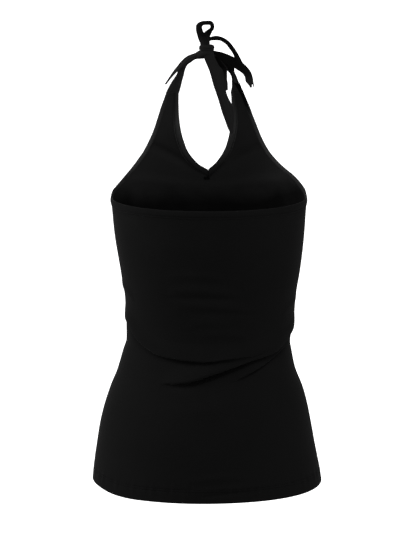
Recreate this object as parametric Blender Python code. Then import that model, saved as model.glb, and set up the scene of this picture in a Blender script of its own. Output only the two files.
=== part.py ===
"""A halter neck top in black stretch jersey, filled out as when it is worn and tied behind the neck.

Millimetres in the tables, metres in Blender, +Z up. The front of the garment faces -Y and its back +Y, and +X is
the wearer's left. The origin is at the nape, where the ties and their knot bear on the back of the neck.
"""

import bmesh
import bpy
import numpy as np

MM = 0.001

# Driving dimensions, mm
WALL = 1.2  # jersey of the panels
BAND_WALL = 1.0  # folded bands
TIE_WALL = 1.6  # ties, loop and tails
SEAM_GAP = 0.4  # between panels, and between a strap and its tie
BAND_GAP = 0.35  # between a band and the panel that it wraps
BAND_WIDTH = 6.6  # neck and armhole bands
BACK_BAND_WIDTH = 9.5
HEM_TURN = 18.0  # from the hem to its stitching
HEM_Z = -652.0
CORNER_Z = -218.0  # where armhole, side seam and back edge meet
BACK_EDGE_DIP = 5.0  # the back's top edge is this much lower at its middle
STRAP_END_Z = -62.4
MITRE_Z = -204.0  # foot of the neck bands' mitre, on the centre line
FOLD_HEIGHT = 3.8  # of the deepest waist fold, out and in
BUST_FULLNESS = 6.0
BUST_X, BUST_Z = 75.0, -238.0
BUST_SPREAD = (52.0, 43.0)  # across and up
KNOT_GAP = 0.35

# How finely the panels are divided
FRONT_COLUMNS = 14  # in each half of the front
BACK_COLUMNS = 26
EDGE_COLUMN = 0.05  # width of the columns beside the centre line and the seams, as a share of a half
TORSO_ROWS = 5  # between the top of the side seams and the folds
SKIRT_ROWS = 5  # between the folds and the hem's stitching
STRAP_ROWS = 12  # from the V to the strap's end
CHEST_STOPS = (0.0, 13.0, 27.0, 41.0)  # rows below the V: distances along the armhole from the side seam,
CHEST_MIDDLE_Z = (-217.5, -213.0, -208.5)  # and their heights on the centre line, the last one at the mitre
V_STOP = 55.0  # distance along the armhole of the row that reaches the V
ARC_SAMPLES = 121
EDGE_SAMPLES = 60

JERSEY = (0.0048, 0.0048, 0.0052, 1.0)
ROUGHNESS = 0.75


def table(columns, rows):
    """A table of named columns, with its rows from the lowest z or q to the highest."""
    return dict(zip(columns.split(), np.array(rows, float).T))


# Outline seen from the front, from hem to nape
OUTLINE = table("z half_width centre_x", (
    (-652, 172.9, 0.9),
    (-621, 168.4, 2),
    (-593, 163.5, 2.7),
    (-564, 158.5, 3),
    (-536, 152.3, 2.4),
    (-508, 143.9, 1.6),
    (-480, 132.7, 1.5),
    (-452, 125.6, 0.4),
    (-434, 121.7, -1.1),
    (-417, 123.1, -2.4),
    (-397, 124.8, -3.5),
    (-369, 126.5, -4.2),
    (-328, 132.7, -4.2),
    (-273, 139.8, -2.9),
    (-245, 141.9, -2.4),
    (-227, 142.8, -2.2),
    (-218, 143, -2),
    (-196, 146.4, -0.7),
    (-161, 146.4, 0.8),
    (-131, 141.4, 1.8),
    (-106, 134.4, 2.5),
    (-86, 127.4, 3.3),
    (-56, 117.4, 3.9),
))

# Half sections in front of the side seam; roundness 2 is an ellipse and more is squarer
FRONT = table("z depth side_y roundness", (
    (-652, 118, -70, 2.0),
    (-590, 112, -70, 2.0),
    (-530, 102, -70, 2.05),
    (-480, 92, -70, 2.1),
    (-437, 87, -70, 2.2),
    (-400, 90, -70, 2.25),
    (-350, 97, -70, 2.3),
    (-310, 106, -70, 2.35),
    (-280, 113, -70, 2.4),
    (-250, 119, -70, 2.5),
    (-225, 120, -70, 2.5),
    (-195, 116, -68, 2.5),
    (-160, 110, -62, 2.5),
    (-130, 105, -50, 2.5),
    (-105, 100, -34, 2.5),
    (-85, 95, -15, 2.4),
    (-70, 90, 2, 2.4),
    (-55, 85, 23, 2.3),
))

# Half sections behind the side seam, which lies at y = -70 from hem to armhole
SIDE_Y = -70.0
BACK = table("z depth roundness", (
    (-652, 124, 2.08),
    (-590, 121, 2),
    (-530, 110, 2.05),
    (-480, 95, 2.1),
    (-437, 86, 2.15),
    (-410, 89, 2.15),
    (-370, 93, 2.15),
    (-320, 100, 2.2),
    (-270, 106, 2.2),
    (-217, 105, 2.2),
))

# Edges of the front above the bust, each side of their own middle
ARMHOLE = table("z half_width centre_x", (
    (-211.7, 139.8, -2.5),
    (-205.4, 133.2, -2.6),
    (-198.3, 125.5, -2.4),
    (-190.5, 116.6, -1.4),
    (-182.1, 107.9, 0),
    (-173.3, 100.5, 1),
    (-164.3, 93.9, 1.5),
    (-145.2, 83.6, 1.8),
    (-125.6, 75.7, 1.8),
    (-105.5, 68.8, 2.4),
    (-94.9, 65.4, 2.6),
    (-79, 60, 3),
    (-60.7, 53.3, 3.7),
))
NECKLINE = table("z half_width centre_x", (
    (-197.1, 0, 1.7),
    (-186.9, 13.9, 1.9),
    (-177.1, 22, 2.3),
    (-167.3, 28.3, 2.7),
    (-157.5, 32.5, 2.8),
    (-137.5, 37.8, 3.1),
    (-117.1, 40.9, 3.1),
    (-96.2, 41.8, 3.3),
    (-80.3, 41.2, 3.7),
    (-61.2, 40.3, 4),
))

# Waist folds. q runs across a panel from its -X seam (-1) to its +X seam (1); strength fades a fold in and out
BACK_FOLDS = (
    table("q z strength", (
        (-1.0, -404, 0.0),
        (-0.6, -428, 0.0),
        (-0.35, -440, 0.2),
        (-0.13, -444, 0.8),
        (0.1, -449, 1.0),
        (0.4, -442, 1.0),
        (0.64, -425, 0.9),
        (0.82, -405, 0.6),
        (1.0, -400, 0.15),
    )),
    table("q z strength", (
        (-1.0, -414, 0.25),
        (-0.87, -419, 0.8),
        (-0.6, -438, 1.0),
        (-0.36, -450, 1.0),
        (-0.03, -470, 0.9),
        (0.17, -482, 0.5),
        (0.4, -487, 0.0),
        (1.0, -470, 0.0),
    )),
)
FRONT_FOLDS = (
    table("q z strength", (
        (-1.0, -402, 0.0),
        (-0.4, -424, 0.0),
        (0.0, -434, 0.2),
        (0.35, -436, 0.7),
        (0.7, -420, 0.6),
        (1.0, -400, 0.15),
    )),
    table("q z strength", (
        (-1.0, -414, 0.25),
        (-0.75, -432, 0.7),
        (-0.35, -450, 0.7),
        (0.0, -460, 0.3),
        (0.3, -466, 0.0),
        (1.0, -472, 0.0),
    )),
)
# A fold across its line: the cloth above hangs over as a lip and the cloth below turns in under it
FOLD_SECTION = table("above out", (
    (-30, 0.0),
    (-16, -0.2),
    (-8, -0.6),
    (-3, -1.0),
    (-0.8, -0.5),
    (1.2, 0.75),
    (4, 1.0),
    (9, 0.8),
    (18, 0.25),
    (34, 0.0),
))
FOLD_STEPS = (1.2, 4.0, 9.0, 18.0, 34.0)  # rows above a fold's line, and below it
UNDER_STEPS = (0.8, 3.0, 8.0, 16.0, 30.0)
SHARE_BETWEEN = (0.08, 0.25, 0.4)  # most that those rows take of the space between two folds
ROWS_BETWEEN = 3

# Strips of the ties and the bow: their edges a and b, from one end to the other
STRIP_COLUMNS = "ax ay az bx by bz"
TIE_LEFT = table(STRIP_COLUMNS, (
    (56, -57, -52, 39.5, -60, -52.5),
    (51.5, -48, -42.5, 37, -51, -42.5),
    (46.5, -40, -32, 34.5, -44, -32.5),
    (39.5, -29, -19.5, 30.5, -33, -21),
    (31.5, -19, -9.5, 24.5, -21, -14),
    (21.5, -9, -2, 17, -10, -8.5),
    (11, 0, 3, 9, 0, -5.5),
    (5.5, 3, 5.5, 5, 4, -1),
))
TIE_RIGHT = table(STRIP_COLUMNS, (
    (-48, -57, -52, -36, -61, -52.5),
    (-44.5, -48, -42.5, -35.5, -51, -42.5),
    (-42, -41, -32, -34.5, -46, -35),
    (-42, -33, -20, -31.5, -40, -28.5),
    (-42, -25, -9.5, -26, -30, -25.5),
    (-31, -18, -2, -19, -19, -19.5),
    (-19, -10, 2, -10.5, -9, -9),
    (-9.5, -2, 4, -5, 0, -3),
    (-3, 3, 5.5, -1.5, 4, 0.5),
))
TIE_LOOP = table(STRIP_COLUMNS, (
    (2.5, 10, 6.5, 8, 4, 6),
    (1, 12, 16, 10, 4, 15.5),
    (0.5, 14.5, 24.5, 12.5, 5, 25),
    (5, 15, 32.5, 15.5, 6, 34.5),
    (9, 15, 39.5, 15.5, 6, 41),
    (5.5, 15, 44, 8, 6, 46),
    (-3, 14, 44, -4.5, 5, 46.5),
    (-5, 13, 40, -9, 4, 41),
    (1.5, 11, 32.5, -6.5, 3, 33),
    (1.5, 9, 24.5, -3.5, 3, 24.5),
    (0.5, 8, 15.5, -3.5, 3, 15.5),
    (-0.5, 7, 6.5, -3.5, 4, 6),
))
TAIL_ARC = table(STRIP_COLUMNS, (
    (-1.5, 4, 9, -2, 1, 9.5),
    (-2, 0, 14, -1.5, -4, 15),
    (-3, -1, 18.5, -2, -6, 20),
    (-6, 0, 21.5, -5.5, -5, 23.5),
    (-11, 2, 22.5, -11, -4, 24.5),
    (-17.5, 4, 21.5, -18.5, -4, 23.5),
    (-26, 5, 17, -27.5, -4, 18.5),
    (-33, 6, 9, -35.5, -3, 10.5),
    (-39, 7, -1, -42.5, -2, 0.5),
    (-40, 8, -11.5, -47.5, 1, -8.5),
    (-43, 8, -20.5, -53.5, 1, -16),
    (-50, 8, -25.5, -60.5, 1, -24.5),
    (-55, 8, -34, -64.5, 1, -34),
    (-59, 7, -45.5, -67.5, 1, -46),
))
TAIL_LONG = table(STRIP_COLUMNS, (
    (3.5, 7, 5, -3, 7, 6.5),
    (3, 9, -5, -6.5, 8, -3),
    (-3, 9, -24.5, -14.5, 6, -21.5),
    (-9.5, 7, -45.5, -21, 3, -42.5),
    (-16, 5, -66.5, -30.5, 1, -64),
    (-21.5, 4, -84.5, -34.5, 1, -78.5),
    (-28, 3, -101.5, -34.5, 1, -97),
    (-32.5, 3, -113.5, -35, 2, -112.5),
))
TAIL_SHORT = table(STRIP_COLUMNS, (
    (-1, 6, 3.5, -5, 5, 4),
    (-9, 4, -9, -17, 0, -8.5),
    (-16, 0, -23, -26.5, -5, -23.5),
    (-20.5, -3, -37.5, -28.5, -8, -38),
    (-25, -5, -54, -28.5, -8, -52.5),
))
TAIL_LEFT = table(STRIP_COLUMNS, (
    (5.5, 6, 6, 5.5, 1, 7),
    (11, 6, 3.5, 11, 1, 5),
    (16, 6, 1, 17, 1, 2),
    (28, 6, -6, 29.5, 1, -5.5),
    (40.5, 6, -18, 41.5, 1, -17.5),
    (50, 5, -30, 51, 1, -30),
    (58.5, 4, -43, 59.5, 2, -42.5),
))
STRIP_STEPS = 2  # stations for each row of a strip's table

KNOT_CENTRE = (0.5, 7.0, 6.6)
KNOT_RADII = (11.4, 6.3, 8.1)
TURN_CENTRE = (8.5, 10.5, 2.6)
TURN_RADII = (6.0, 3.4, 3.2)
TURN_TILT = np.radians(35)
KNOT_SEGMENTS, KNOT_RINGS = 20, 12


# Curves and surfaces

def smooth(value, knots, heights):
    """A smooth curve through the points, level at its turning points so that it never overshoots."""
    steps = np.diff(knots)
    slopes = np.diff(heights) / steps
    tangents = np.zeros(len(knots))
    tangents[0], tangents[-1] = slopes[0], slopes[-1]
    for i in range(1, len(knots) - 1):
        if slopes[i - 1] * slopes[i] > 0:
            tangents[i] = 2 * slopes[i - 1] * slopes[i] / (slopes[i - 1] + slopes[i])
    value = np.clip(value, knots[0], knots[-1])
    i = np.clip(np.searchsorted(knots, value, side="right") - 1, 0, len(steps) - 1)
    t = (value - knots[i]) / steps[i]
    return (
        heights[i] * (1 + 2 * t) * (1 - t) ** 2
        + tangents[i] * steps[i] * t * (1 - t) ** 2
        + heights[i + 1] * t**2 * (3 - 2 * t)
        + tangents[i + 1] * steps[i] * t**2 * (t - 1)
    )


def column(data, name, value, along="z"):
    return float(smooth(value, data[along], data[name]))


def half_section(half_width, depth, roundness):
    """Points of a quarter of the section, from its middle to the side seam, and the length run along it."""
    angle = np.linspace(0, np.pi / 2, ARC_SAMPLES)
    across = half_width * np.sin(angle) ** (2 / roundness)
    out = depth * np.cos(angle) ** (2 / roundness)
    out[-1] = 0
    run = np.concatenate([[0], np.cumsum(np.hypot(np.diff(across), np.diff(out)))])
    return across, out, run


def section_point(q, z, half_width, centre_x, side_y, depth, roundness, facing):
    across, out, run = half_section(half_width, depth, roundness)
    reach = abs(q) * run[-1]
    x = centre_x + np.sign(q) * np.interp(reach, run, across)
    return np.array([x, side_y + facing * np.interp(reach, run, out), z])


def front_point(q, z):
    """The front's surface: q runs from the -X seam (-1) to the +X seam (1), at height z."""
    point = section_point(
        q, z,
        column(OUTLINE, "half_width", z), column(OUTLINE, "centre_x", z),
        column(FRONT, "side_y", z), column(FRONT, "depth", z), column(FRONT, "roundness", z), -1,
    )
    for middle in (-BUST_X, BUST_X):
        far = np.hypot((point[0] - middle) / BUST_SPREAD[0], (z - BUST_Z) / BUST_SPREAD[1])
        point[1] -= BUST_FULLNESS * np.exp(-far * far)
    return point


def back_point(q, z):
    """The back's surface, in the same terms."""
    return section_point(
        q, z,
        column(OUTLINE, "half_width", z), column(OUTLINE, "centre_x", z),
        SIDE_Y, column(BACK, "depth", z), column(BACK, "roundness", z), 1,
    )


def front_q(x, z):
    """The q of the point of the front that is at x and z."""
    across, _, run = half_section(
        column(OUTLINE, "half_width", z), column(FRONT, "depth", z), column(FRONT, "roundness", z)
    )
    offset = x - column(OUTLINE, "centre_x", z)
    return np.sign(offset) * np.interp(abs(offset), across, run) / run[-1]


def fold_offset(folds, q, z):
    total = 0.0
    for fold in folds:
        above = z - column(fold, "z", q, "q")
        total += column(fold, "strength", q, "q") * column(FOLD_SECTION, "out", above, "above")
    return FOLD_HEIGHT * total


def body_heights(q, top_z, folds):
    """Heights of a column of points from top_z to the hem, closer together along the folds."""
    upper, lower = (column(fold, "z", q, "q") for fold in folds)
    above = [upper + step for step in reversed(FOLD_STEPS)]
    between = upper - lower
    under_lip = [upper - min(step, share * between) for step, share in zip(UNDER_STEPS, SHARE_BETWEEN)]
    next_lip = [lower + min(step, share * between) for step, share in zip(FOLD_STEPS, SHARE_BETWEEN)][::-1]
    middle = np.linspace(under_lip[-1], next_lip[0], ROWS_BETWEEN + 2)[1:-1]
    below = [lower - step for step in UNDER_STEPS]
    hem_turn = HEM_Z + HEM_TURN
    start = np.linspace(top_z, above[0], TORSO_ROWS + 1)[:-1]
    skirt = np.linspace(below[-1], hem_turn, SKIRT_ROWS + 1)[1:]
    return [*start, *above, *under_lip, *middle, *next_lip, *below, *skirt, HEM_Z]


# Meshes

def material():
    made = bpy.data.materials.get("black_jersey") or bpy.data.materials.new("black_jersey")
    made.use_nodes = True
    shader = made.node_tree.nodes["Principled BSDF"]
    shader.inputs["Base Color"].default_value = JERSEY
    shader.inputs["Roughness"].default_value = ROUGHNESS
    shader.inputs["Metallic"].default_value = 0.0
    return made


def new_object(name, points, faces):
    """An object from points in millimetres and faces that all turn the same way, outwards or inwards."""
    mesh = bpy.data.meshes.new(name)
    mesh.from_pydata((np.asarray(points) * MM).tolist(), [], faces)
    bm = bmesh.new()
    bm.from_mesh(mesh)
    if bm.calc_volume(signed=True) < 0:
        bmesh.ops.reverse_faces(bm, faces=bm.faces)
    bm.to_mesh(mesh)
    bm.free()
    mesh.materials.append(material())
    mesh.shade_smooth()
    made = bpy.data.objects.new(name, mesh)
    bpy.context.scene.collection.objects.link(made)
    return made


class Sheet:
    """The middle surface of a panel: points, four-sided faces and the normals that give it its wall."""

    def __init__(self):
        self.numbers = {}
        self.faces = []

    def number(self, point):
        """A point's number; points in one place share it."""
        return self.numbers.setdefault(tuple(np.round(point, 3)), len(self.numbers))

    def add_grid(self, grid, skip=(), turn=1):
        """Adds rows of points with a face in each cell, but for those to skip, and gives the points' numbers."""
        rows = [[self.number(point) for point in row] for row in grid]
        for r, (low, high) in enumerate(zip(rows, rows[1:])):
            for c in range(len(low) - 1):
                if (r, c) not in skip:
                    self.faces.append((low[c], low[c + 1], high[c + 1], high[c])[::turn])
        return rows

    def finish(self):
        """Works out the normals from the faces."""
        self.points = np.array(list(self.numbers))
        corners = self.points[np.array(self.faces)]
        facing = np.cross(corners[:, 2] - corners[:, 0], corners[:, 3] - corners[:, 1])
        self.normals = np.zeros_like(self.points)
        for corner in np.array(self.faces).T:
            np.add.at(self.normals, corner, facing)
        self.normals /= np.linalg.norm(self.normals, axis=1)[:, None]

    def open_edges(self):
        sides = {}
        for face in self.faces:
            for a, b in zip(face, face[1:] + face[:1]):
                sides.setdefault(frozenset((a, b)), []).append((a, b))
        return [found[0] for found in sides.values() if len(found) == 1]

    def wall(self, name):
        """The panel's solid: the sheet moved out and in by half its thickness, closed round its edges."""
        count = len(self.points)
        half = self.normals * WALL / 2
        faces = [*self.faces, *(tuple(i + count for i in face[::-1]) for face in self.faces)]
        faces += [(b, a, a + count, b + count) for a, b in self.open_edges()]
        return new_object(name, [*(self.points + half), *(self.points - half)], faces)


def sweep(name, sections):
    """A closed solid through sections of the same number of points."""
    count = len(sections[0])
    points = [point for section in sections for point in section]
    last = len(points) - count
    faces = [tuple(range(count)), tuple(range(last, last + count))[::-1]]
    for s in range(len(sections) - 1):
        for i in range(count):
            j = (i + 1) % count
            faces.append((s * count + i, (s + 1) * count + i, (s + 1) * count + j, s * count + j))
    return new_object(name, points, faces)


def unit(vector):
    return vector / np.linalg.norm(vector)


# Panels

def folded_point(surface, folds, facing, q, z):
    """A point of a panel with its folds, drawn back a little where it is on a side seam."""
    point = surface(q, z)
    offset = fold_offset(folds, q, z)
    if offset:
        inner_q = 0.99 * q
        across = surface(inner_q + 0.01, z) - surface(inner_q - 0.01, z)
        up = surface(inner_q, z + 1) - surface(inner_q, z - 1)
        point = point + facing * offset * unit(np.cross(up, across))
    if abs(q) == 1:
        point[1] += facing * SEAM_GAP / 2
    return point


def back_sheet():
    """The back's sheet, and its top edge as pairs of points: on the edge, and a band's width below it."""
    sheet = Sheet()
    grid = []
    for q in np.linspace(-1, 1, BACK_COLUMNS + 1):
        edge_z = CORNER_Z - BACK_EDGE_DIP * (1 - q * q)
        heights = [edge_z, *body_heights(q, edge_z - BACK_BAND_WIDTH, BACK_FOLDS)]
        grid.append([folded_point(back_point, BACK_FOLDS, 1, q, z) for z in heights])
    numbers = sheet.add_grid(grid)
    sheet.finish()
    return sheet, [(line[0], line[1]) for line in numbers]


class Edge:
    """An armhole or neck edge of the front, from its lower end to the end of the strap, as places (q, z)."""

    def __init__(self, data, side, lowest=None):
        heights = np.linspace(data["z"][0], STRAP_END_Z, EDGE_SAMPLES)
        self.places = [
            (front_q(column(data, "centre_x", z) + side * column(data, "half_width", z), z), z) for z in heights
        ]
        if lowest:
            self.places.insert(0, lowest)
        self.places = np.array(self.places)
        points = np.array([front_point(*place) for place in self.places])
        self.run = np.concatenate([[0], np.cumsum(np.linalg.norm(np.diff(points, axis=0), axis=1))])
        self.side = side

    def length(self):
        return self.run[-1]

    def at(self, distance):
        return np.array([np.interp(distance, self.run, values) for values in self.places.T])

    def inside(self, distance, width, towards):
        """The place a band's width inside the edge, square to it, on the side that towards gives."""
        here = self.at(distance)
        tangent = self.at(distance + 1) - self.at(distance - 1)
        step_q, step_z = 0.004, 0.5
        q, z = here - [self.side * step_q, 0]
        across = (front_point(q + step_q, z) - front_point(q - step_q, z)) / (2 * step_q)
        up = (front_point(q, z + step_z) - front_point(q, z - step_z)) / (2 * step_z)
        along = across * tangent[0] + up * tangent[1]
        square = unit(np.cross(along, np.cross(across, up))) * width * towards
        return here + np.linalg.lstsq(np.array([across, up]).T, square, rcond=None)[0]


def front_half(sheet, side):
    """Adds half of the front to the sheet, and gives pairs of points for its neck band and its armhole band."""
    armhole = Edge(ARMHOLE, side, (side, CORNER_Z))
    neckline = Edge(NECKLINE, side)
    base_z = CORNER_Z - BAND_WIDTH
    body_q = side * np.array([0, *np.linspace(EDGE_COLUMN, 1 - EDGE_COLUMN, FRONT_COLUMNS - 1), 1])
    body = [
        [folded_point(front_point, FRONT_FOLDS, -1, q, z) for z in body_heights(q, base_z, FRONT_FOLDS)]
        for q in body_q
    ]
    rows = [list(row) for row in zip(*body)][::-1]

    v_point = neckline.at(0)
    chest_rows = len(CHEST_STOPS)
    middle = [np.array([v_point[0], z]) for z in (*CHEST_MIDDLE_Z, MITRE_Z)]
    neck_stops = np.linspace(0, neckline.length(), STRAP_ROWS + 1)
    arm_stops = [*CHEST_STOPS, *np.linspace(V_STOP, armhole.length(), STRAP_ROWS + 1)]
    first = len(rows)
    for i, arm_stop in enumerate(arm_stops):
        outer = armhole.at(arm_stop)
        outer_inside = armhole.inside(arm_stop, BAND_WIDTH, -side)
        if i == 0:
            outer_inside = np.array([side, base_z])
        if i < chest_rows:
            inner = middle[i]
            inner_inside = inner + [side * EDGE_COLUMN, 0]
        else:
            neck_stop = neck_stops[i - chest_rows]
            inner = neckline.at(neck_stop)
            inner_inside = middle[-1] if neck_stop == 0 else neckline.inside(neck_stop, BAND_WIDTH, side)
        shares = np.linspace(0, 1, FRONT_COLUMNS - 1)[:, None]
        places = [inner, *(inner_inside + shares * (outer_inside - inner_inside)), outer]
        rows.append([folded_point(front_point, FRONT_FOLDS, -1, *place) for place in places])
    mitre_row = first + chest_rows - 1
    skip = {(first - 1, FRONT_COLUMNS - 1), (mitre_row, 0)}
    numbers = sheet.add_grid(rows, skip, side)
    neck = [(row[0], row[1]) for row in numbers[mitre_row + 1:]]
    arm = [(row[-1], row[-2]) for row in numbers[first:]]
    return neck, arm


def front_sheet():
    sheet = Sheet()
    edges = {side: front_half(sheet, side) for side in (1, -1)}
    sheet.finish()
    return sheet, edges


def folded_band(name, sheet, pairs, end_shift=(0, 0, 0)):
    """A band folded round a raw edge, through pairs of the panel's points: on the edge and inside it."""
    clear = WALL / 2 + BAND_GAP
    outside = clear + BAND_WALL
    tip = BAND_GAP + BAND_WALL
    sections = []
    for edge, inner in pairs:
        p0, p1 = sheet.points[edge], sheet.points[inner]
        n0, n1 = sheet.normals[edge], sheet.normals[inner]
        if not sections:
            p0, p1 = p0 + end_shift, p1 + end_shift
        away = unit(p0 - p1)
        root = p0 + away * BAND_GAP
        sections.append([
            p1 + n1 * clear, root + n0 * clear,
            root - n0 * clear, p1 - n1 * clear,
            p1 - n1 * outside, p0 - n0 * outside,
            p0 + away * tip - n0 * clear, p0 + away * tip + n0 * clear,
            p0 + n0 * outside, p1 + n1 * outside,
        ])
    return sweep(name, sections)


# Ties and knot

def strip(name, rows, first_row=None):
    """A flat strip between its two edges, from the table of its rows."""
    data = np.array([rows[key] for key in STRIP_COLUMNS.split()]).T
    if first_row is not None:
        data = np.vstack([first_row, data])
    steps = np.linalg.norm(np.diff(data, axis=0), axis=1)
    run = np.concatenate([[0], np.cumsum(steps)])
    stations = np.interp(np.arange(0, len(run) - 0.99, 1 / STRIP_STEPS), np.arange(len(run)), run)
    edges = np.array([[smooth(station, run, values) for values in data.T] for station in stations])
    a, b = edges[:, :3], edges[:, 3:]
    onward = np.gradient((a + b) / 2, axis=0)
    sections = []
    for from_a, to_b, along in zip(a, b, onward):
        half = unit(np.cross(along, to_b - from_a)) * TIE_WALL / 2
        sections.append([from_a + half, to_b + half, to_b - half, from_a - half])
    return sweep(name, sections)


def tie(name, rows, sheet, arm, neck):
    """A tie that carries on from the end of its strap, as wide as the strap with its bands."""
    end_a, end_b = sheet.points[arm[-1][0]], sheet.points[neck[-1][0]]
    before = (sheet.points[arm[-2][0]] + sheet.points[neck[-2][0]]) / 2
    gap = unit((end_a + end_b) / 2 - before) * SEAM_GAP
    band = unit(end_a - end_b) * (BAND_GAP + BAND_WALL)
    return strip(name, rows, [*(end_a + band + gap), *(end_b - band + gap)])


def rounded(name, centre, radii, tilt=0.0):
    """An ellipsoid, turned about the Y axis through its centre."""
    bm = bmesh.new()
    bmesh.ops.create_uvsphere(bm, u_segments=KNOT_SEGMENTS, v_segments=KNOT_RINGS, radius=1)
    points = np.array([vertex.co for vertex in bm.verts]) * radii
    faces = [[vertex.index for vertex in face.verts] for face in bm.faces]
    bm.free()
    cos, sin = np.cos(tilt), np.sin(tilt)
    turn = np.array([[cos, 0, sin], [0, 1, 0], [-sin, 0, cos]])
    return new_object(name, points @ turn.T + centre, faces)


def seat_against(pieces, cutter):
    """Cuts the pieces back to where they go into the knot."""
    cutter.hide_render = True
    cutter.display_type = "WIRE"
    for piece in pieces:
        cut = piece.modifiers.new("seat", "BOOLEAN")
        cut.operation = "DIFFERENCE"
        cut.solver = "EXACT"
        cut.object = cutter


def main():
    for old in list(bpy.data.objects):
        bpy.data.objects.remove(old)

    back, back_edge = back_sheet()
    back.wall("back_panel")
    folded_band("back_band", back, back_edge)

    front, edges = front_sheet()
    front.wall("front_panel")
    into_knot = []
    for side, hand, rows in ((1, "left", TIE_LEFT), (-1, "right", TIE_RIGHT)):
        neck, arm = edges[side]
        folded_band(f"neck_band_{hand}", front, neck, (side * SEAM_GAP / 2, 0, 0))
        folded_band(f"arm_band_{hand}", front, arm)
        into_knot.append(tie(f"tie_{hand}", rows, front, arm, neck))

    bow = {
        "tie_loop": TIE_LOOP, "tail_arc": TAIL_ARC, "tail_long": TAIL_LONG,
        "tail_short": TAIL_SHORT, "tail_left": TAIL_LEFT,
    }
    into_knot += [strip(name, rows) for name, rows in bow.items()]
    rounded("knot", KNOT_CENTRE, KNOT_RADII)
    into_knot.append(rounded("knot_turn", TURN_CENTRE, TURN_RADII, TURN_TILT))
    seat_against(into_knot, rounded("knot_seat", KNOT_CENTRE, np.array(KNOT_RADII) + KNOT_GAP))


main()
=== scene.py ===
# %% [markdown]
# # A halter neck top in black stretch jersey, tied behind the neck
#
# The frame that is loaded here holds the garment's solids: a front, a back, five bindings, two ties, and a knot
# with one bow loop and four loose tails, each true in size but plain. This lesson dresses them as cloth, with
# thin walls, soft folds, a knitted face, stitches, and a knot that is wound from the ties. Everything is in the
# frame's own place: +Z is up, the back of the garment faces +Y, and the origin is at the nape, where the ties
# are knotted. "Left" and "right" are the wearer's, so left is on +X.

import bpy
import numpy as np
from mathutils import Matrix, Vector


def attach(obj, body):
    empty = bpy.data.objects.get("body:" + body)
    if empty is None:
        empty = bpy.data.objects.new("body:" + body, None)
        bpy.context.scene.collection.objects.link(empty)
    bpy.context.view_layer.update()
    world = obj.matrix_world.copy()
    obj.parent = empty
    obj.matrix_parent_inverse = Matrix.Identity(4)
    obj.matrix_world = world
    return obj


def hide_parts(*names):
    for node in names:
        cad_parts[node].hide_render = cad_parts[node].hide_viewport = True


MM = 0.001  # lengths below are in millimetres, and Blender's are in metres

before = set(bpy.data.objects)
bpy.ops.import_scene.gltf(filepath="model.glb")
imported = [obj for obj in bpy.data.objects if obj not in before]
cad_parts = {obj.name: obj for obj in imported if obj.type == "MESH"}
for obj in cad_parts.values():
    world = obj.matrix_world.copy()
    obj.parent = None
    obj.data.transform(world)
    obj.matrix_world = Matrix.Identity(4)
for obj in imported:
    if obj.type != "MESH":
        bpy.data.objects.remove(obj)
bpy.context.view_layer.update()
bpy.ops.object.select_all(action="DESELECT")
print("solids:", ", ".join(sorted(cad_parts)))

# %% [markdown]
# ## The filled-out form
#
# A close-fitting top has no shape of its own on a table: it takes the figure's. A pattern maker describes such
# a form by a few level sections, so this lesson does too. Each table has named columns and a row for each
# height, in millimetres. One could sculpt the form instead, but sections keep every panel, binding and stitch
# on one and the same surface, and on the solids. The form runs on above the armholes as if the shoulders were
# there.

# %% Sections of the body
HEM_Z = -652.0
STRAP_END_Z = -62.4


def table(columns, rows):
    """A table of named columns."""
    return dict(zip(columns.split(), np.array(rows, float).T))


OUTLINE = table("z half_width centre_x", (
    (-652, 172.9, 0.9), (-621, 168.4, 2), (-593, 163.5, 2.7), (-564, 158.5, 3), (-536, 152.3, 2.4),
    (-508, 143.9, 1.6), (-480, 132.7, 1.5), (-452, 125.6, 0.4), (-434, 121.7, -1.1), (-417, 123.1, -2.4),
    (-397, 124.8, -3.5), (-369, 126.5, -4.2), (-328, 132.7, -4.2), (-273, 139.8, -2.9), (-245, 141.9, -2.4),
    (-227, 142.8, -2.2), (-218, 143, -2), (-196, 146.4, -0.7), (-161, 146.4, 0.8), (-131, 141.4, 1.8),
    (-106, 134.4, 2.5), (-86, 127.4, 3.3), (-56, 117.4, 3.9),
))
# depth is from the side seams' plane to the middle, side_y where that plane is, and a roundness of 2 an ellipse
FRONT = table("z depth side_y roundness", (
    (-652, 118, -70, 2.0), (-590, 112, -70, 2.0), (-530, 102, -70, 2.05), (-480, 92, -70, 2.1),
    (-437, 87, -70, 2.2), (-400, 90, -70, 2.25), (-350, 97, -70, 2.3), (-310, 106, -70, 2.35),
    (-280, 113, -70, 2.4), (-250, 119, -70, 2.5), (-225, 120, -70, 2.5), (-217, 119.5, -70, 2.5),
    (-195, 116, -68, 2.5), (-160, 110, -62, 2.5), (-130, 105, -50, 2.5), (-105, 100, -34, 2.5),
    (-85, 95, -15, 2.4), (-70, 90, 2, 2.4), (-55, 85, 23, 2.3),
))
BACK = table("z depth roundness", (
    (-652, 124, 2.08), (-590, 121, 2), (-530, 110, 2.05), (-480, 95, 2.1), (-437, 86, 2.15),
    (-410, 89, 2.15), (-370, 93, 2.15), (-320, 100, 2.2), (-270, 106, 2.2), (-217, 105, 2.2),
))
print("form from", HEM_Z, "to", STRAP_END_Z, "mm")

# %% [markdown]
# Two more tables say where the front is cut away from the form: at the armholes, and down both sides of the
# neck to the point of the V. Their middles lean a little to the left, because ties are never drawn up evenly.

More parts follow.
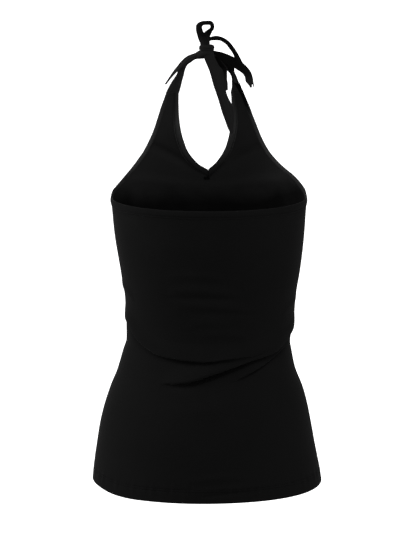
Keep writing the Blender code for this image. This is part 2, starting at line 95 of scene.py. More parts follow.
# %% Edges of the front
ARMHOLE = table("z half_width centre_x", (
    (-211.7, 140.3, -3.4), (-205.4, 133.7, -4.0), (-198.3, 126.2, -3.2), (-190.5, 117.3, -1.4),
    (-182.1, 108.6, 0.3), (-173.3, 101.2, 1.3), (-164.3, 94.5, 1.8), (-145.2, 84.2, 2.2),
    (-125.6, 76.3, 2.2), (-105.5, 69.4, 2.8), (-94.9, 66, 3), (-79, 60.5, 3.3), (-60.7, 53.6, 3.9),
))
NECKLINE = table("z half_width centre_x", (
    (-197.1, 0, -0.9), (-186.9, 13.7, 1.8), (-177.1, 21.8, 2.3), (-167.3, 28.1, 2.7), (-157.5, 32.2, 2.8),
    (-137.5, 37.4, 3.1), (-117.1, 40.4, 3.1), (-96.2, 41.3, 3.2), (-80.3, 40.7, 3.6), (-61.2, 39.8, 4),
))
print("V of the neck at", NECKLINE["z"][0], "mm, armholes from", ARMHOLE["z"][0], "mm up")

# %% [markdown]
# ## Reading between the rows
#
# The heights between two rows come from a smooth curve. This one is level at its turning points, so a waist
# stays as narrow as its row says and a hip never bulges past its own. All of the arithmetic is done on whole
# arrays at once, because a panel has tens of thousands of points.

# %% Smooth curves


def smooth(value, knots, heights):
    """A smooth curve through the points that never overshoots them."""
    steps = np.diff(knots)
    slopes = np.diff(heights) / steps
    product = slopes[:-1] * slopes[1:]
    between = np.divide(2 * product, slopes[:-1] + slopes[1:], out=np.zeros_like(product), where=product > 0)
    tangents = np.concatenate([slopes[:1], between, slopes[-1:]])
    value = np.clip(value, knots[0], knots[-1])
    i = np.clip(np.searchsorted(knots, value, side="right") - 1, 0, len(steps) - 1)
    t = (value - knots[i]) / steps[i]
    return (
        heights[i] * (1 + 2 * t) * (1 - t) ** 2
        + tangents[i] * steps[i] * t * (1 - t) ** 2
        + heights[i + 1] * t**2 * (3 - 2 * t)
        + tangents[i + 1] * steps[i] * t**2 * (t - 1)
    )


def column(data, name, value, along="z"):
    """A column of a table, read between its rows."""
    return smooth(value, data[along], data[name])


def unit(vectors):
    return vectors / np.linalg.norm(vectors, axis=-1, keepdims=True)


print("half width at the waist:", round(float(column(OUTLINE, "half_width", -434.0)), 1), "mm")

# %% [markdown]
# ## The two surfaces
#
# Every level section is half of a soft oval. Its points are found by walking along it: q is 0 at its middle
# and runs to 1 at the side seam on +X and to -1 at the one on -X, so that q stretches over the figure just
# as cloth does. The walk is done once for a ladder of levels and then only looked up. The bust is added to the
# front afterwards, as two soft swellings.

# %% Forms of the front and the back
SIDE_Y = -70.0  # of the plane of the back's side seams
BUST_FULLNESS = 6.0
BUST_X, BUST_Z = 75.0, -238.0  # of the fullest points
BUST_SPREAD = (52.0, 43.0)  # across and up
BUST_FADE = 14  # power of q by which the fullness ends at the side seams
LEVEL_STEP, LEVELS_BEYOND = 2.0, 6.0  # between the levels, and how far they run past the cloth's ends
SHARES = 241  # steps of the walk along each half section
LAST = 1.001  # keeps what is looked up just below the ladder's last step
SEAM_REACH, LEVEL_REACH = 0.01, 2.0  # share of a half and height on which a direction is measured


class Form:
    """A panel's surface: its points, and its directions across, up and outwards, for q and z."""

    def __init__(self, sections, facing):
        self.facing = facing
        self.levels = np.arange(HEM_Z - LEVELS_BEYOND, STRAP_END_Z + LEVELS_BEYOND, LEVEL_STEP)
        angle = np.linspace(0, np.pi / 2, SHARES)
        power = 2 / column(sections, "roundness", self.levels)[:, None]
        across = column(OUTLINE, "half_width", self.levels)[:, None] * np.sin(angle) ** power
        out = column(sections, "depth", self.levels)[:, None] * np.clip(np.cos(angle), 0, 1) ** power
        out[:, -1] = 0
        run = np.cumsum(np.hypot(np.diff(across), np.diff(out)), axis=1)
        run = np.hstack([np.zeros((len(run), 1)), run])
        self.girth = run[:, -1]
        self.shares = np.linspace(0, 1, SHARES)
        self.across = np.array([np.interp(self.shares * r[-1], r, a) for r, a in zip(run, across)])
        self.out = np.array([np.interp(self.shares * r[-1], r, o) for r, o in zip(run, out)])
        self.centre_x = column(OUTLINE, "centre_x", self.levels)
        sides = sections.get("side_y")
        self.side_y = column(sections, "side_y", self.levels) if sides is not None else SIDE_Y + 0 * self.levels

    def look_up(self, grid, q, z):
        """A value of the ladder, read between its levels and shares."""
        level = np.clip((z - self.levels[0]) / LEVEL_STEP, 0, len(self.levels) - LAST)
        share = np.clip(np.abs(q), 0, 1) * (SHARES - LAST)
        r, c = level.astype(int), share.astype(int)
        up, on = level - r, share - c
        low = grid[r, c] * (1 - on) + grid[r, c + 1] * on
        high = grid[r + 1, c] * (1 - on) + grid[r + 1, c + 1] * on
        return low * (1 - up) + high * up

    def at(self, q, z):
        """Points of the surface."""
        q, z = np.broadcast_arrays(np.asarray(q, float), np.asarray(z, float))
        x = np.interp(z, self.levels, self.centre_x) + np.sign(q) * self.look_up(self.across, q, z)
        y = np.interp(z, self.levels, self.side_y) + self.facing * self.look_up(self.out, q, z)
        if self.facing < 0:
            for middle in (-BUST_X, BUST_X):
                far = np.hypot((x - middle) / BUST_SPREAD[0], (z - BUST_Z) / BUST_SPREAD[1])
                y = y - BUST_FULLNESS * np.exp(-far * far) * (1 - q**BUST_FADE)
        return np.stack([x, y, z], axis=-1)

    def directions(self, q, z):
        """Across, up and outwards, each of length 1."""
        inner = np.asarray(q) * (1 - SEAM_REACH)
        across = unit(self.at(inner + SEAM_REACH, z) - self.at(inner - SEAM_REACH, z))
        up = unit(self.at(inner, z + LEVEL_REACH) - self.at(inner, z - LEVEL_REACH))
        return across, up, self.facing * unit(np.cross(up, across))

    def q_of(self, x, z):
        """The q of the point that is at x, for one x and z."""
        level = (z - self.levels[0]) / LEVEL_STEP
        low = int(level)
        across = self.across[low] + (level - low) * (self.across[low + 1] - self.across[low])
        offset = x - np.interp(z, self.levels, self.centre_x)
        return np.sign(offset) * np.interp(abs(offset), across, self.shares)


front_form = Form(FRONT, -1)
back_form = Form(BACK, 1)
for name, form in (("front", front_form), ("back", back_form)):
    hem_width = 2 * float(np.interp(HEM_Z, form.levels, form.girth))
    print(name, "from seam to seam at the hem:", round(hem_width, 1), "mm")

# %% [markdown]
# ## Folds at the waist
#
# A stretch top that is worn rides up a little, and the spare length slumps into folds at the waist. A fold is
# not a painted line: the cloth above hangs over as a soft lip, and the cloth below turns in under it. So each
# fold has a path round the body, and one cross-section that both pushes the cloth out and lets it slide down.
# The paths, three behind and two in front, fade in and out, are unlike each other, and start from both side
# seams. Weaker ridges lie between them, where the cloth hardly slackens. Cloth simulation could make such
# folds, but not these ones in these places.

# %% Paths of the folds
FOLD_HEIGHT = 5.6  # for a strength of 1
FOLD_DROP = 4.4  # how far the lip then slides down over the crease
FOLD_RISE = 4.6  # from a path, where the fold is darkest, up to the line it turns about

BACK_FOLDS = (
    table("q z strength width", (
        (-1.0, -404, 0.0, 1.0), (-0.6, -428, 0.0, 1.0), (-0.35, -440, 0.4, 1.0), (-0.13, -444, 1.0, 1.0),
        (0.05, -448, 1.2, 1.2), (0.4, -442, 1.2, 1.1), (0.64, -425, 1.1, 1.0), (0.82, -405, 0.75, 1.0),
        (1.0, -400, 0.15, 1.0),
    )),
    table("q z strength width", (
        (-1.0, -413, 0.25, 1.0), (-0.87, -417.5, 0.75, 1.0), (-0.76, -426, 0.95, 1.05),
        (-0.6, -438, 1.4, 1.2), (-0.36, -450, 1.2, 1.3), (-0.03, -470, 1.1, 1.5), (0.17, -482, 0.8, 1.3),
        (0.4, -487, 0.0, 1.2), (1.0, -470, 0.0, 1.0),
    )),
    table("q z strength width", (
        (-1.0, -432, 0.0, 0.6), (-0.8, -438, 0.0, 0.6), (-0.64, -447, 0.7, 0.6), (-0.45, -461, 1.0, 0.7),
        (-0.3, -473, 0.6, 0.8), (-0.16, -483, 0.0, 0.8), (1.0, -490, 0.0, 0.8),
    )),
)
FRONT_FOLDS = (
    table("q z strength width", (
        (-1.0, -402, 0.0, 1.0), (-0.4, -424, 0.0, 1.0), (0.0, -434, 0.2, 1.1), (0.35, -436, 0.7, 1.3),
        (0.7, -420, 0.6, 1.0), (1.0, -400, 0.15, 1.0),
    )),
    table("q z strength width", (
        (-1.0, -414, 0.15, 1.2), (-0.8, -430, 0.1, 1.6), (-0.6, -443, 0.35, 1.6), (-0.35, -452, 0.7, 1.5),
        (0.0, -460, 0.3, 1.3), (0.3, -466, 0.0, 1.0), (1.0, -472, 0.0, 1.0),
    )),
)
print("folds behind:", len(BACK_FOLDS), "in front:", len(FRONT_FOLDS))

# %% [markdown]
# Every fold has the same section, made wider and stronger by its path's table: a full lip above its line, and a
# narrow hollow below it that goes deepest right under the lip. Weaker ridges have a plain round section. Both
# are measured across the cloth and added up, so that a ridge may run into a fold.

# %% Section of a fold, and ridges
# In mm above the fold's line, and in shares of its height and drop
FOLD_SECTION = table("above out down", (
    (-34, 0.0, 0.0), (-18, -0.05, 0.0), (-12, -0.15, 0.0), (-8.5, -0.32, 0.0), (-6, -0.7, -0.05),
    (-4.2, -1.05, -0.2), (-2.2, -1.2, -0.3), (-0.7, -0.75, -0.05), (0.5, 0.2, 0.5), (1.7, 0.8, 0.9),
    (3.6, 0.98, 0.9), (6.5, 0.92, 0.55), (12, 0.65, 0.15), (20, 0.2, 0.0), (34, 0.0, 0.0),
))

# Softer ridges: their panel (1 is the back), a path from q_from to q_to at z_from to z_to, how high one stands
# and how wide it is
RIDGE_FADE, RIDGE_BOW = 0.8, 3.0  # how soon a ridge fades in, and how far its path bows up in mm
RIDGES = table("panel q_from q_to z_from z_to height width", (
    (1, -0.22, 0.34, -344.0, -340.0, 2.5, 6.0), (1, -0.32, 0.42, -355.5, -353.0, -1.8, 2.6),
    (1, -0.12, 0.34, -321.0, -318.0, 1.6, 5.0), (1, -0.34, 0.3, -369.0, -363.0, 2.0, 6.0),
    (1, -0.46, 0.2, -380.0, -375.0, -1.1, 3.0), (1, -0.2, 0.2, -392.0, -390.0, 1.1, 5.5),
    (1, -0.34, 0.1, -409.0, -407.0, 1.8, 6.0), (1, -0.97, -0.66, -366.0, -382.0, 1.6, 7.0),
    (1, 0.7, 0.99, -360.0, -346.0, 1.8, 7.0), (1, -0.28, 0.14, -614.0, -619.0, 1.8, 5.0),
    (1, -0.3, 0.06, -637.5, -643.5, -2.0, 2.0), (1, -0.42, 0.14, -629.0, -635.0, 1.2, 3.5),
    (1, -0.8, -0.5, -630.0, -635.0, -1.2, 2.2), (1, 0.55, 0.97, -241.0, -234.0, -2.4, 8.0),
    (1, -0.92, -0.6, -233.0, -238.0, -1.6, 7.0), (1, -0.6, 0.3, -505.0, -522.0, 1.0, 10.0),
    (1, 0.2, 0.7, -470.0, -452.0, 0.8, 8.0), (-1, 0.2, 0.62, -458.0, -448.0, 2.2, 4.5),
    (-1, -0.35, 0.2, -348.0, -342.0, 2.0, 6.0), (-1, -0.1, 0.42, -374.0, -368.0, 1.6, 6.0),
    (-1, -0.5, -0.05, -400.0, -406.0, 1.9, 5.5), (-1, 0.7, 0.99, -362.0, -350.0, 1.7, 7.0),
    (-1, -0.99, -0.7, -364.0, -376.0, 1.6, 7.0), (-1, -0.45, 0.4, -284.0, -282.0, -2.0, 12.0),
    (-1, -0.15, 0.3, -610.0, -614.0, 1.8, 6.0), (-1, 0.1, 0.5, -192.0, -146.0, 2.6, 8.0),
    (-1, -0.46, -0.12, -150.0, -190.0, 1.2, 8.0), (-1, -0.75, -0.05, -204.0, -224.0, -2.2, 10.0),
    (-1, 0.08, 0.8, -226.0, -200.0, -2.2, 10.0),
))


def crease(folds, facing, q, z):
    """How far the cloth stands out and has slid down, in mm, at q and z."""
    out, down = np.zeros(q.shape), np.zeros(q.shape)
    for fold in folds:
        width = column(fold, "width", q, "q")
        above = (z - column(fold, "z", q, "q")) / width - FOLD_RISE
        strength = width * column(fold, "strength", q, "q")
        out += FOLD_HEIGHT * strength * column(FOLD_SECTION, "out", above, "above")
        down += FOLD_DROP * strength * column(FOLD_SECTION, "down", above, "above")
    for panel, q0, q1, z0, z1, height, width in zip(*RIDGES.values()):
        if panel == facing:
            share = (q - q0) / (q1 - q0)
            bow = np.sin(np.pi * np.clip(share, 0, 1))
            path = z0 + (z1 - z0) * share + RIDGE_BOW * bow
            out += height * bow**RIDGE_FADE * np.exp(-(((z - path) / width) ** 2))
    return out, down


print("softer ridges:", len(RIDGES["q_from"]))

# %% [markdown]
# ## From points to pieces
#
# Every piece below is a grid of points: rows along the cloth and columns across it. The faces follow from the
# grid, and so does the UV map, which holds real lengths in metres, so that a knitted pattern has one size on
# all pieces and turns with the cloth. Modelling each face by hand would give the same mesh, a thousand times
# slower.

# %% Grids of points


def lengths(grid, axis):
    """Distances run along one axis of a grid of points, starting from 0."""
    steps = np.linalg.norm(np.diff(grid, axis=axis), axis=-1)
    start = np.zeros_like(np.take(steps, [0], axis=axis))
    return np.concatenate([start, np.cumsum(steps, axis=axis)], axis=axis)


def grid_faces(rows, columns, ring=False):
    """Four-sided faces between the rows; a ring also joins the last column to the first."""
    wide = columns if ring else columns - 1
    r, c = np.meshgrid(np.arange(rows - 1), np.arange(wide), indexing="ij")
    low, on = r * columns, (c + 1) % columns
    return np.stack([low + c, low + on, low + columns + on, low + columns + c], -1).reshape(-1, 4)


def volume_sign(points, faces):
    """Above 0 if the faces of a closed solid look outwards."""
    corners = np.array([face[:3] for face in faces if len(face) == 4])
    others = np.array([face[2:] + face[:1] for face in faces if len(face) == 4])
    return sum((points[t[:, 0]] * np.cross(points[t[:, 1]], points[t[:, 2]])).sum() for t in (corners, others))


def new_piece(name, points, faces, uv, closed=False):
    """An object from points and faces, with each point's place on the cloth as uv, all in mm.

    A closed one is turned outwards.
    """
    points = np.asarray(points, float)
    faces = [list(face) for face in faces]
    if closed and volume_sign(points, faces) < 0:
        faces = [face[::-1] for face in faces]
    mesh = bpy.data.meshes.new(name)
    mesh.from_pydata((points * MM).tolist(), [], faces)
    layer = mesh.uv_layers.new(name="cloth")
    corners = np.empty(len(mesh.loops), dtype=np.int32)
    mesh.loops.foreach_get("vertex_index", corners)
    layer.data.foreach_set("uv", (np.asarray(uv)[corners] * MM).ravel())
    mesh.shade_smooth()
    made = bpy.data.objects.new(name, mesh)
    bpy.context.scene.collection.objects.link(made)
    return made


print("a grid of 3 by 3 points has", len(grid_faces(3, 3)), "faces")

# %% [markdown]
# A single layer of cloth gets its wall from Solidify, which is then applied. It also gives the inside a
# material of its own, since the reverse of jersey looks different from its face.

# %% Wall of a single layer
WALL = 1.0


def thicken(piece, wall):
    """Gives a sheet its wall, half to each side, and a second material slot for the reverse of the cloth."""
    piece.data.materials.append(None)
    piece.data.materials.append(None)
    bpy.ops.object.select_all(action="DESELECT")
    piece.select_set(True)
    bpy.context.view_layer.objects.active = piece
    solid = piece.modifiers.new("wall", "SOLIDIFY")
    solid.thickness = wall * MM
    solid.offset = 0
    solid.material_offset = 1
    bpy.ops.object.modifier_apply(modifier="wall")


print("wall:", WALL, "mm")

# %% [markdown]
# ## Where the rows go
#
# A fold turns within a few millimetres, and a plain stretch of cloth hardly in a hundred. Rows of equal height
# would either miss the folds or waste faces, so the rows crowd at the folds' lines and at the hem's stitching.
# The hem is the same cloth, turned up inside by 18 mm, so its rows simply run on round the fold.

# %% Heights of the rows
ROW_STEP = 3.4  # between rows on plain cloth
FOLD_ROW_STEP, FOLD_REACH = 0.5, 4.2  # at the line of a fold, and how far from it the rows still crowd
STITCH_ROW_STEP, STITCH_REACH = 1.0, 1.4  # the same at the hem's stitching
COUNT_STEP = 0.2  # at which the rows are counted
HEM_STITCHES = (-634.6, -631.0)  # the twin needle's two rows
HEM_ALLOWANCE = 19.5
HEM_ROLL = 0.75  # radius of the hem's fold, to the middle of the cloth
HEM_PRESSED = 0.15  # by which the ironed allowance lies nearer than the fold is wide
HEM_STEP, HEM_TURN = 1.5, 22.5  # between rows of the allowance, and degrees between those of the fold
BODY_ROWS = 205


def body_rows(q, top, folds):
    """Heights of a column's points from the hem to its top."""
    z = np.arange(HEM_Z + 0.5 * WALL + HEM_ROLL, top, COUNT_STEP)
    density = 1 / ROW_STEP + 0 * z
    for fold in folds:
        density += 1 / FOLD_ROW_STEP / (1 + ((z - column(fold, "z", q, "q") - FOLD_RISE) / FOLD_REACH) ** 2)
    for stitch in HEM_STITCHES:
        density += 1 / STITCH_ROW_STEP / (1 + ((z - stitch) / STITCH_REACH) ** 2)
    total = np.cumsum(density)
    return np.interp(np.linspace(total[0], total[-1], BODY_ROWS), total, z)


def hem_rows():
    """Heights and depths of the turned hem, from its raw edge inside to the fold."""
    turn = np.radians(np.arange(180, 0, -HEM_TURN))
    heights = np.arange(HEM_Z + HEM_ALLOWANCE, HEM_Z + 2 * HEM_STEP, -HEM_STEP)
    inside = np.array([[z, 2 * HEM_ROLL - HEM_PRESSED] for z in heights])
    bend = np.stack([HEM_Z + 0.5 * WALL + HEM_ROLL * (1 - np.sin(turn)), HEM_ROLL * (1 - np.cos(turn))], -1)
    return np.vstack([inside, bend])


print("the hem turns through", len(hem_rows()), "rows before the outside begins")

# %% [markdown]
# ## Cloth on the form
#
# Sewing shapes the cloth as well as the body does. Along each side seam it dips into a shallow valley, as two
# overlocked edges pull it in. Twin-needle stitching draws the hem in a little, so the cloth puckers between
# the stitches, and the hem itself never hangs quite level.

# %% Cloth on a form
EASE = table("z mm", (  # by which the cloth stands off the form
    (-652, 0.95), (-450, 0.95), (-410, 0.3), (-330, 0.3), (-240, 0.5), (-224, 0.9), (-200, 0.6), (-60, 0.6),
))
HEM_SAG = table("q mm", (  # by which the hem hangs lower
    (-1.0, 0.0), (-0.9, 1.0), (-0.72, 1.3), (-0.4, 0.5), (-0.2, 0.1), (0.1, 0.4), (0.35, 0.9), (0.5, 1.6),
    (0.6, 1.2), (0.7, -0.3), (0.79, -2.0), (0.92, -2.7), (1.0, -2.6),
))
SAG_REACH = 50.0  # height in which the sag is lost
VALLEY_DEPTH, VALLEY_WIDTH = 0.8, 1.6  # along a side seam
STITCH_DEPTH, STITCH_GROOVE = 0.35, 0.8
PUCKERS = ((31.0, 0.35, 0.4), (47.0, 0.3, 2.1), (83.0, 0.18, 4.4))  # how quick a wave is, its size and phase
PUCKER_PACE, PUCKER_REACH = 3, 9.0


def ease(z):
    """How far the cloth stands off the form at a height."""
    return column(EASE, "mm", z)


def dressed(form, folds, q, z, depth=0.0):
    """Points of a panel with its folds, seam valleys and stitched hem; depth is how far inside they lie."""
    q, z = np.broadcast_arrays(np.asarray(q, float), np.asarray(z, float))
    _, up, outwards = form.directions(q, z)
    out, down = crease(folds, form.facing, q, z)
    seam = (1 - np.abs(q)) * np.interp(z, form.levels, form.girth)
    down = down + column(HEM_SAG, "mm", q, "q") * np.exp(-(((z - HEM_Z) / SAG_REACH) ** 2))
    out = out + ease(z) - depth - VALLEY_DEPTH * np.exp(-((seam / VALLEY_WIDTH) ** 2))
    for stitch in HEM_STITCHES:
        out = out - STITCH_DEPTH * np.exp(-(((z - stitch) / STITCH_GROOVE) ** 2))
    near = np.exp(-(((z - HEM_STITCHES[0]) / PUCKER_REACH) ** 2))
    for waves, size, phase in PUCKERS:
        out = out + size * near * np.sin(waves * q * PUCKER_PACE + phase + form.facing)
    return form.at(q, z) + out[..., None] * outwards - down[..., None] * up


print("hem lower or higher by up to", float(np.abs(HEM_SAG["mm"]).max()), "mm")

# %% [markdown]
# ## The back
#
# The back is one piece of jersey from seam to seam. Its top edge is level, but for a slight dip at the middle,
# where nothing holds it up between the arms.

# %% Back panel
CORNER_Z = -218.0  # where armhole, side seam and back edge meet
BACK_EDGE_DIP = 5.0  # the back's top edge is this much lower at its middle
HALF_COLUMNS = 70  # of a panel, from its middle to a side seam


def body_grid(form, folds, columns, top):
    """Points of a panel below its top edge, with the hem, as rows from the raw edge of the hem upwards."""
    heights = np.array([body_rows(q, top(q), folds) for q in columns]).T
    hem = hem_rows()
    across = np.broadcast_to(columns, (len(hem), len(columns)))
    turned = dressed(form, folds, across, hem[:, :1] + 0 * across, hem[:, 1:] + 0 * across)
    return np.vstack([turned, dressed(form, folds, np.broadcast_to(columns, heights.shape), heights)])


def grid_uv(grid):
    """Each point's place on the cloth: across from the middle column, and along."""
    middle = grid.shape[1] // 2
    across = lengths(grid, 1)
    return np.stack([across - across[:, middle : middle + 1], lengths(grid, 0)], -1).reshape(-1, 2)


def back_top(q):
    """Height of the back's top edge."""
    return CORNER_Z - BACK_EDGE_DIP * (1 - q * q)


back_columns = np.linspace(-1, 1, 2 * HALF_COLUMNS + 1)
back_grid = body_grid(back_form, BACK_FOLDS, back_columns, back_top)
back_faces = grid_faces(*back_grid.shape[:2])[:, ::-1]
jersey_back = new_piece("jersey_back", back_grid.reshape(-1, 3), back_faces, grid_uv(back_grid))
thicken(jersey_back, WALL)
print("back:", len(jersey_back.data.polygons), "faces")

# %% [markdown]
# ## The edges of the front
#
# Above the bust the front is cut away on both sides of the neck and under both arms. Each of these edges is a
# curve on the front's surface, and everything that follows it, the cloth, its binding and the stitches, asks
# it the same question: where is the point so far along, and so far inside?

# %% Armhole and neck edges
EDGE_STEPS = 160
ALONG_STEP = 1.5  # to both sides of a place, for the direction of the edge there
Q_STEP, Z_STEP = 0.004, 0.5  # for the surface's lie beside the edge


class Edge:
    """An edge of the front, from its lower end to the end of the strap, as places (q, z).

    away is the side of the edge, 1 for +X, on which there is no cloth.
    """

    def __init__(self, data, side, away, lowest=None):
        z = np.linspace(data["z"][0], STRAP_END_Z, EDGE_STEPS)
        x = column(data, "centre_x", z) + side * column(data, "half_width", z)
        places = [(front_form.q_of(*place), place[1]) for place in zip(x, z)]
        self.places = np.array(([lowest] if lowest else []) + places)
        self.run = lengths(front_form.at(*self.places.T), 0)
        self.length = self.run[-1]
        self.side, self.away = side, away

    def at(self, distance):
        """Places at these distances; the edge runs straight on beyond its ends."""
        distance = np.asarray(distance, float)
        inner = np.clip(distance, 0, self.length)
        place = np.stack([np.interp(inner, self.run, values) for values in self.places.T], -1)
        end = np.where(distance < 0, 1, len(self.run) - 1)
        slope = (self.places[end] - self.places[end - 1]) / (self.run[end] - self.run[end - 1])[..., None]
        return place + slope * (distance - inner)[..., None]

    def frame(self, distance):
        """Points on the edge, and the directions along it, away from the cloth and outwards from the body."""
        ahead, behind = (front_form.at(*self.at(distance + step).T) for step in (ALONG_STEP, -ALONG_STEP))
        place = self.at(distance)
        point = front_form.at(*place.T)
        _, _, outwards = front_form.directions(*place.T)
        along = unit(ahead - behind)
        outwards = unit(outwards - (outwards * along).sum(-1, keepdims=True) * along)
        return point, along, self.away * np.cross(along, outwards), outwards

    def inside(self, distance, width):
        """Points of the surface a width inside the edge, square to it."""
        q, z = self.at(distance).T
        _, _, away, _ = self.frame(distance)
        q_near = q - self.side * Q_STEP
        across = (front_form.at(q_near + Q_STEP, z) - front_form.at(q_near - Q_STEP, z)) / (2 * Q_STEP)
        up = front_form.at(q_near, z + Z_STEP) - front_form.at(q_near, z - Z_STEP)
        measure = np.stack([across, up], -1)
        normal = np.swapaxes(measure, -1, -2) @ measure
        reach = np.swapaxes(measure, -1, -2) @ (-np.reshape(width, (-1, 1)) * away)[..., None]
        step = np.linalg.solve(normal, reach)[..., 0]
        return front_form.at(q + step[..., 0], z + step[..., 1])


armholes = {side: Edge(ARMHOLE, side, side, (side, CORNER_Z)) for side in (1, -1)}
necklines = {side: Edge(NECKLINE, side, -side) for side in (1, -1)}
for side, name in ((1, "left"), (-1, "right")):
    print(name, "armhole:", round(armholes[side].length), "mm, neckline:", round(necklines[side].length), "mm")

# %% [markdown]
# ## The front
#
# The front is cut in one with both halter straps. Its lower rows go from seam to seam like those of the back.
# Above the armholes' corners they run from the middle to the armhole, and above the V from the neck edge to
# the armhole, up to the end of each strap. Both halves are made alike and share the points down the middle.

# %% Front panel
V_STOP = 55.0  # distance along the armhole of the row that meets the V
CHEST_ROWS, STRAP_ROWS = 20, 84


def upper_places(side):
    """Places (q, z) of the rows above the corner, from the middle or the neck edge to the armhole."""
    arm = armholes[side].at(np.concatenate([
        np.linspace(0, V_STOP, CHEST_ROWS + 1)[1:],
        np.linspace(V_STOP, armholes[side].length, STRAP_ROWS + 1)[1:],
    ]))
    v_place = necklines[side].at(0)
    chest = np.linspace(0, 1, CHEST_ROWS + 1)[1:, None] * (v_place - [0, CORNER_Z]) + [0, CORNER_Z]
    neck = np.vstack([chest, necklines[side].at(np.linspace(0, necklines[side].length, STRAP_ROWS + 1)[1:])])
    shares = np.linspace(0, 1, HALF_COLUMNS + 1)[None, :, None]
    return neck[:, None] + shares * (arm - neck)[:, None]


halves = []
for side in (1, -1):
    q, z = np.moveaxis(upper_places(side), -1, 0)
    lower = body_grid(front_form, FRONT_FOLDS, side * np.linspace(0, 1, HALF_COLUMNS + 1), lambda q: CORNER_Z)
    halves.append(np.vstack([lower, dressed(front_form, FRONT_FOLDS, q, z)]))

places_on_cloth = [
    np.stack([side * lengths(half, 1), lengths(half, 0)[:, HALF_COLUMNS // 2, None] + 0 * half[..., 0]], -1)
    for side, half in zip((1, -1), halves)
]
count = halves[0][..., 0].size
faces = grid_faces(*halves[0].shape[:2])
points = np.vstack([half.reshape(-1, 3) for half in halves])
_, first, shared = np.unique(np.round(points, 3), axis=0, return_index=True, return_inverse=True)
faces = shared.ravel()[np.vstack([faces, faces[:, ::-1] + count])]
front_uv = np.vstack([places.reshape(-1, 2) for places in places_on_cloth])
jersey_front = new_piece("jersey_front", points[first], faces, front_uv[first])
thicken(jersey_front, WALL)
print("front:", len(jersey_front.data.polygons), "faces")

# %% [markdown]
# ## Bindings
#
# Every raw edge is bound with a folded strip of the same jersey: turned under, wrapped round the edge and
# stitched through all layers. Seen across, it's a soft U with a groove where the stitching pulls it in. The
# section below is drawn once and carried along each edge. The neck's binding is wider than the armholes', and
# both get narrower towards the straps' ends. None is quite even: the strip draws in a little between the
# stitches, so its height follows a slow and a quick wave.

# %% Sections of a binding
NECK_WIDTH = table("z mm", ((-200, 9.0), (-140, 8.8), (-95, 6.0), (-60, 4.6)))
ARM_WIDTH = table("z mm", ((-220, 6.4), (-190, 5.2), (-140, 4.6), (-60, 4.0)))
FRONT_SECTION_WIDTH = 7.0  # for which the section on the front is drawn, before it is stretched to these widths
BACK_BINDING_WIDTH = 9.5
BINDING_STITCH = 0.8  # share of the width at which the stitching runs
BINDING_STEP = 1.3  # distance between sections
SWELL, SWELL_FROM = 0.07, 0.6  # share by which the strip swells between stitches, and from which height up
WAVES = ((38.0, 0.5), (17.0, 0.3), (6.5, 0.25))  # lengths in mm and sizes

# Half of the closed section, mirrored for the inside: how far it lies from the edge as a share of the width,
# with whole millimetres added, and its height
BINDING_SECTION = table("share beyond height", (
    (-1.0, 0, 0.56), (-1.03, 0, 0.8), (-0.98, 0, 1.05), (-0.91, 0, 1.1), (-0.87, 0, 0.95), (-0.8, 0, 0.55),
    (-0.71, 0, 1.3), (-0.62, 0, 1.72), (-0.45, 0, 1.9), (-0.25, 0, 1.78), (-0.08, 0, 1.5), (0, 0.5, 1.25),
    (0, 1.4, 0.7), (0, 1.8, 0.0),
))
INNER_SECTION = table("share beyond height", (
    (0, 0.5, 0.0), (0, 0.3, 0.5), (-0.5, 0, 0.56),
))


def binding_section(width):
    """Beyond and height of the closed section's points, once round it."""
    outer, inner = (
        np.stack([half["share"] * width + half["beyond"], half["height"]], -1)
        for half in (BINDING_SECTION, INNER_SECTION)
    )
    mirror = np.array([1, -1])
    return np.vstack([outer, outer[-2::-1] * mirror, inner[:0:-1] * mirror, inner])


def uneven(run, seed):
    """Slow and quick waves along a run, between about -1 and 1, unlike for each seed."""
    phases = np.random.default_rng(seed).uniform(0, 2 * np.pi, len(WAVES))
    return sum(size * np.sin(2 * np.pi * run / wave + phase) for (wave, size), phase in zip(WAVES, phases))


print("a binding's section has", len(binding_section(BACK_BINDING_WIDTH)), "points")

# %% [markdown]
# A binding and every strip below is a closed tube through such sections. Its first and last section are closed
# by a face, so that nothing can be seen to be hollow.

# %% Closed tubes, and a binding round an edge


def tube_piece(name, grid, run, cap=None):
    """A closed solid through sections, the rows of the grid, with its UV map along the run.

    cap lists the faces over the last section, as columns; without it, one face closes either end.
    """
    rows, columns = grid.shape[:2]
    uv = np.stack([lengths(grid, 1), np.broadcast_to(run[:, None], (rows, columns))], -1).reshape(-1, 2)
    faces = grid_faces(rows, columns, ring=True).tolist()
    for face in cap or [list(range(columns))]:
        faces += [face[::-1], [(rows - 1) * columns + corner for corner in face]]
    return new_piece(name, grid.reshape(-1, 3), faces, uv, closed=True)


def binding(name, point, away, outwards, reaches, width, seed, mitre=None, taper=0.0):
    """A folded strip round an edge; reaches are the points of the surface a width inside it.

    mitre is (side, x) where it is cut off square, and taper the length in which its end thins down.
    """
    section = binding_section(width)
    run = lengths(point, 0)
    share, beyond = np.clip(-section[:, 0] / width, 0, 2), np.clip(section[:, 0], 0, None)
    swell = 1 + SWELL * uneven(run, seed)[:, None]
    height = section[:, 1] * np.where(np.abs(section[:, 1]) > SWELL_FROM, swell, 1)
    if taper:
        height = height * np.interp(run[-1] - run, (0, taper), (END_HEIGHT, 1))[:, None]
    lift = ease(point[:, 2:]) + height
    grid = point[:, None] + share[:, None] * (reaches - point)[:, None]
    grid = grid + (beyond * swell)[..., None] * away[:, None] + lift[..., None] * outwards[:, None]
    if mitre:
        side, x = mitre
        grid[..., 0] += side * np.clip(side * (x - grid[..., 0]), 0, None)
    return tube_piece(name, grid, run)


print("a binding swells by up to", SWELL, "of its height")

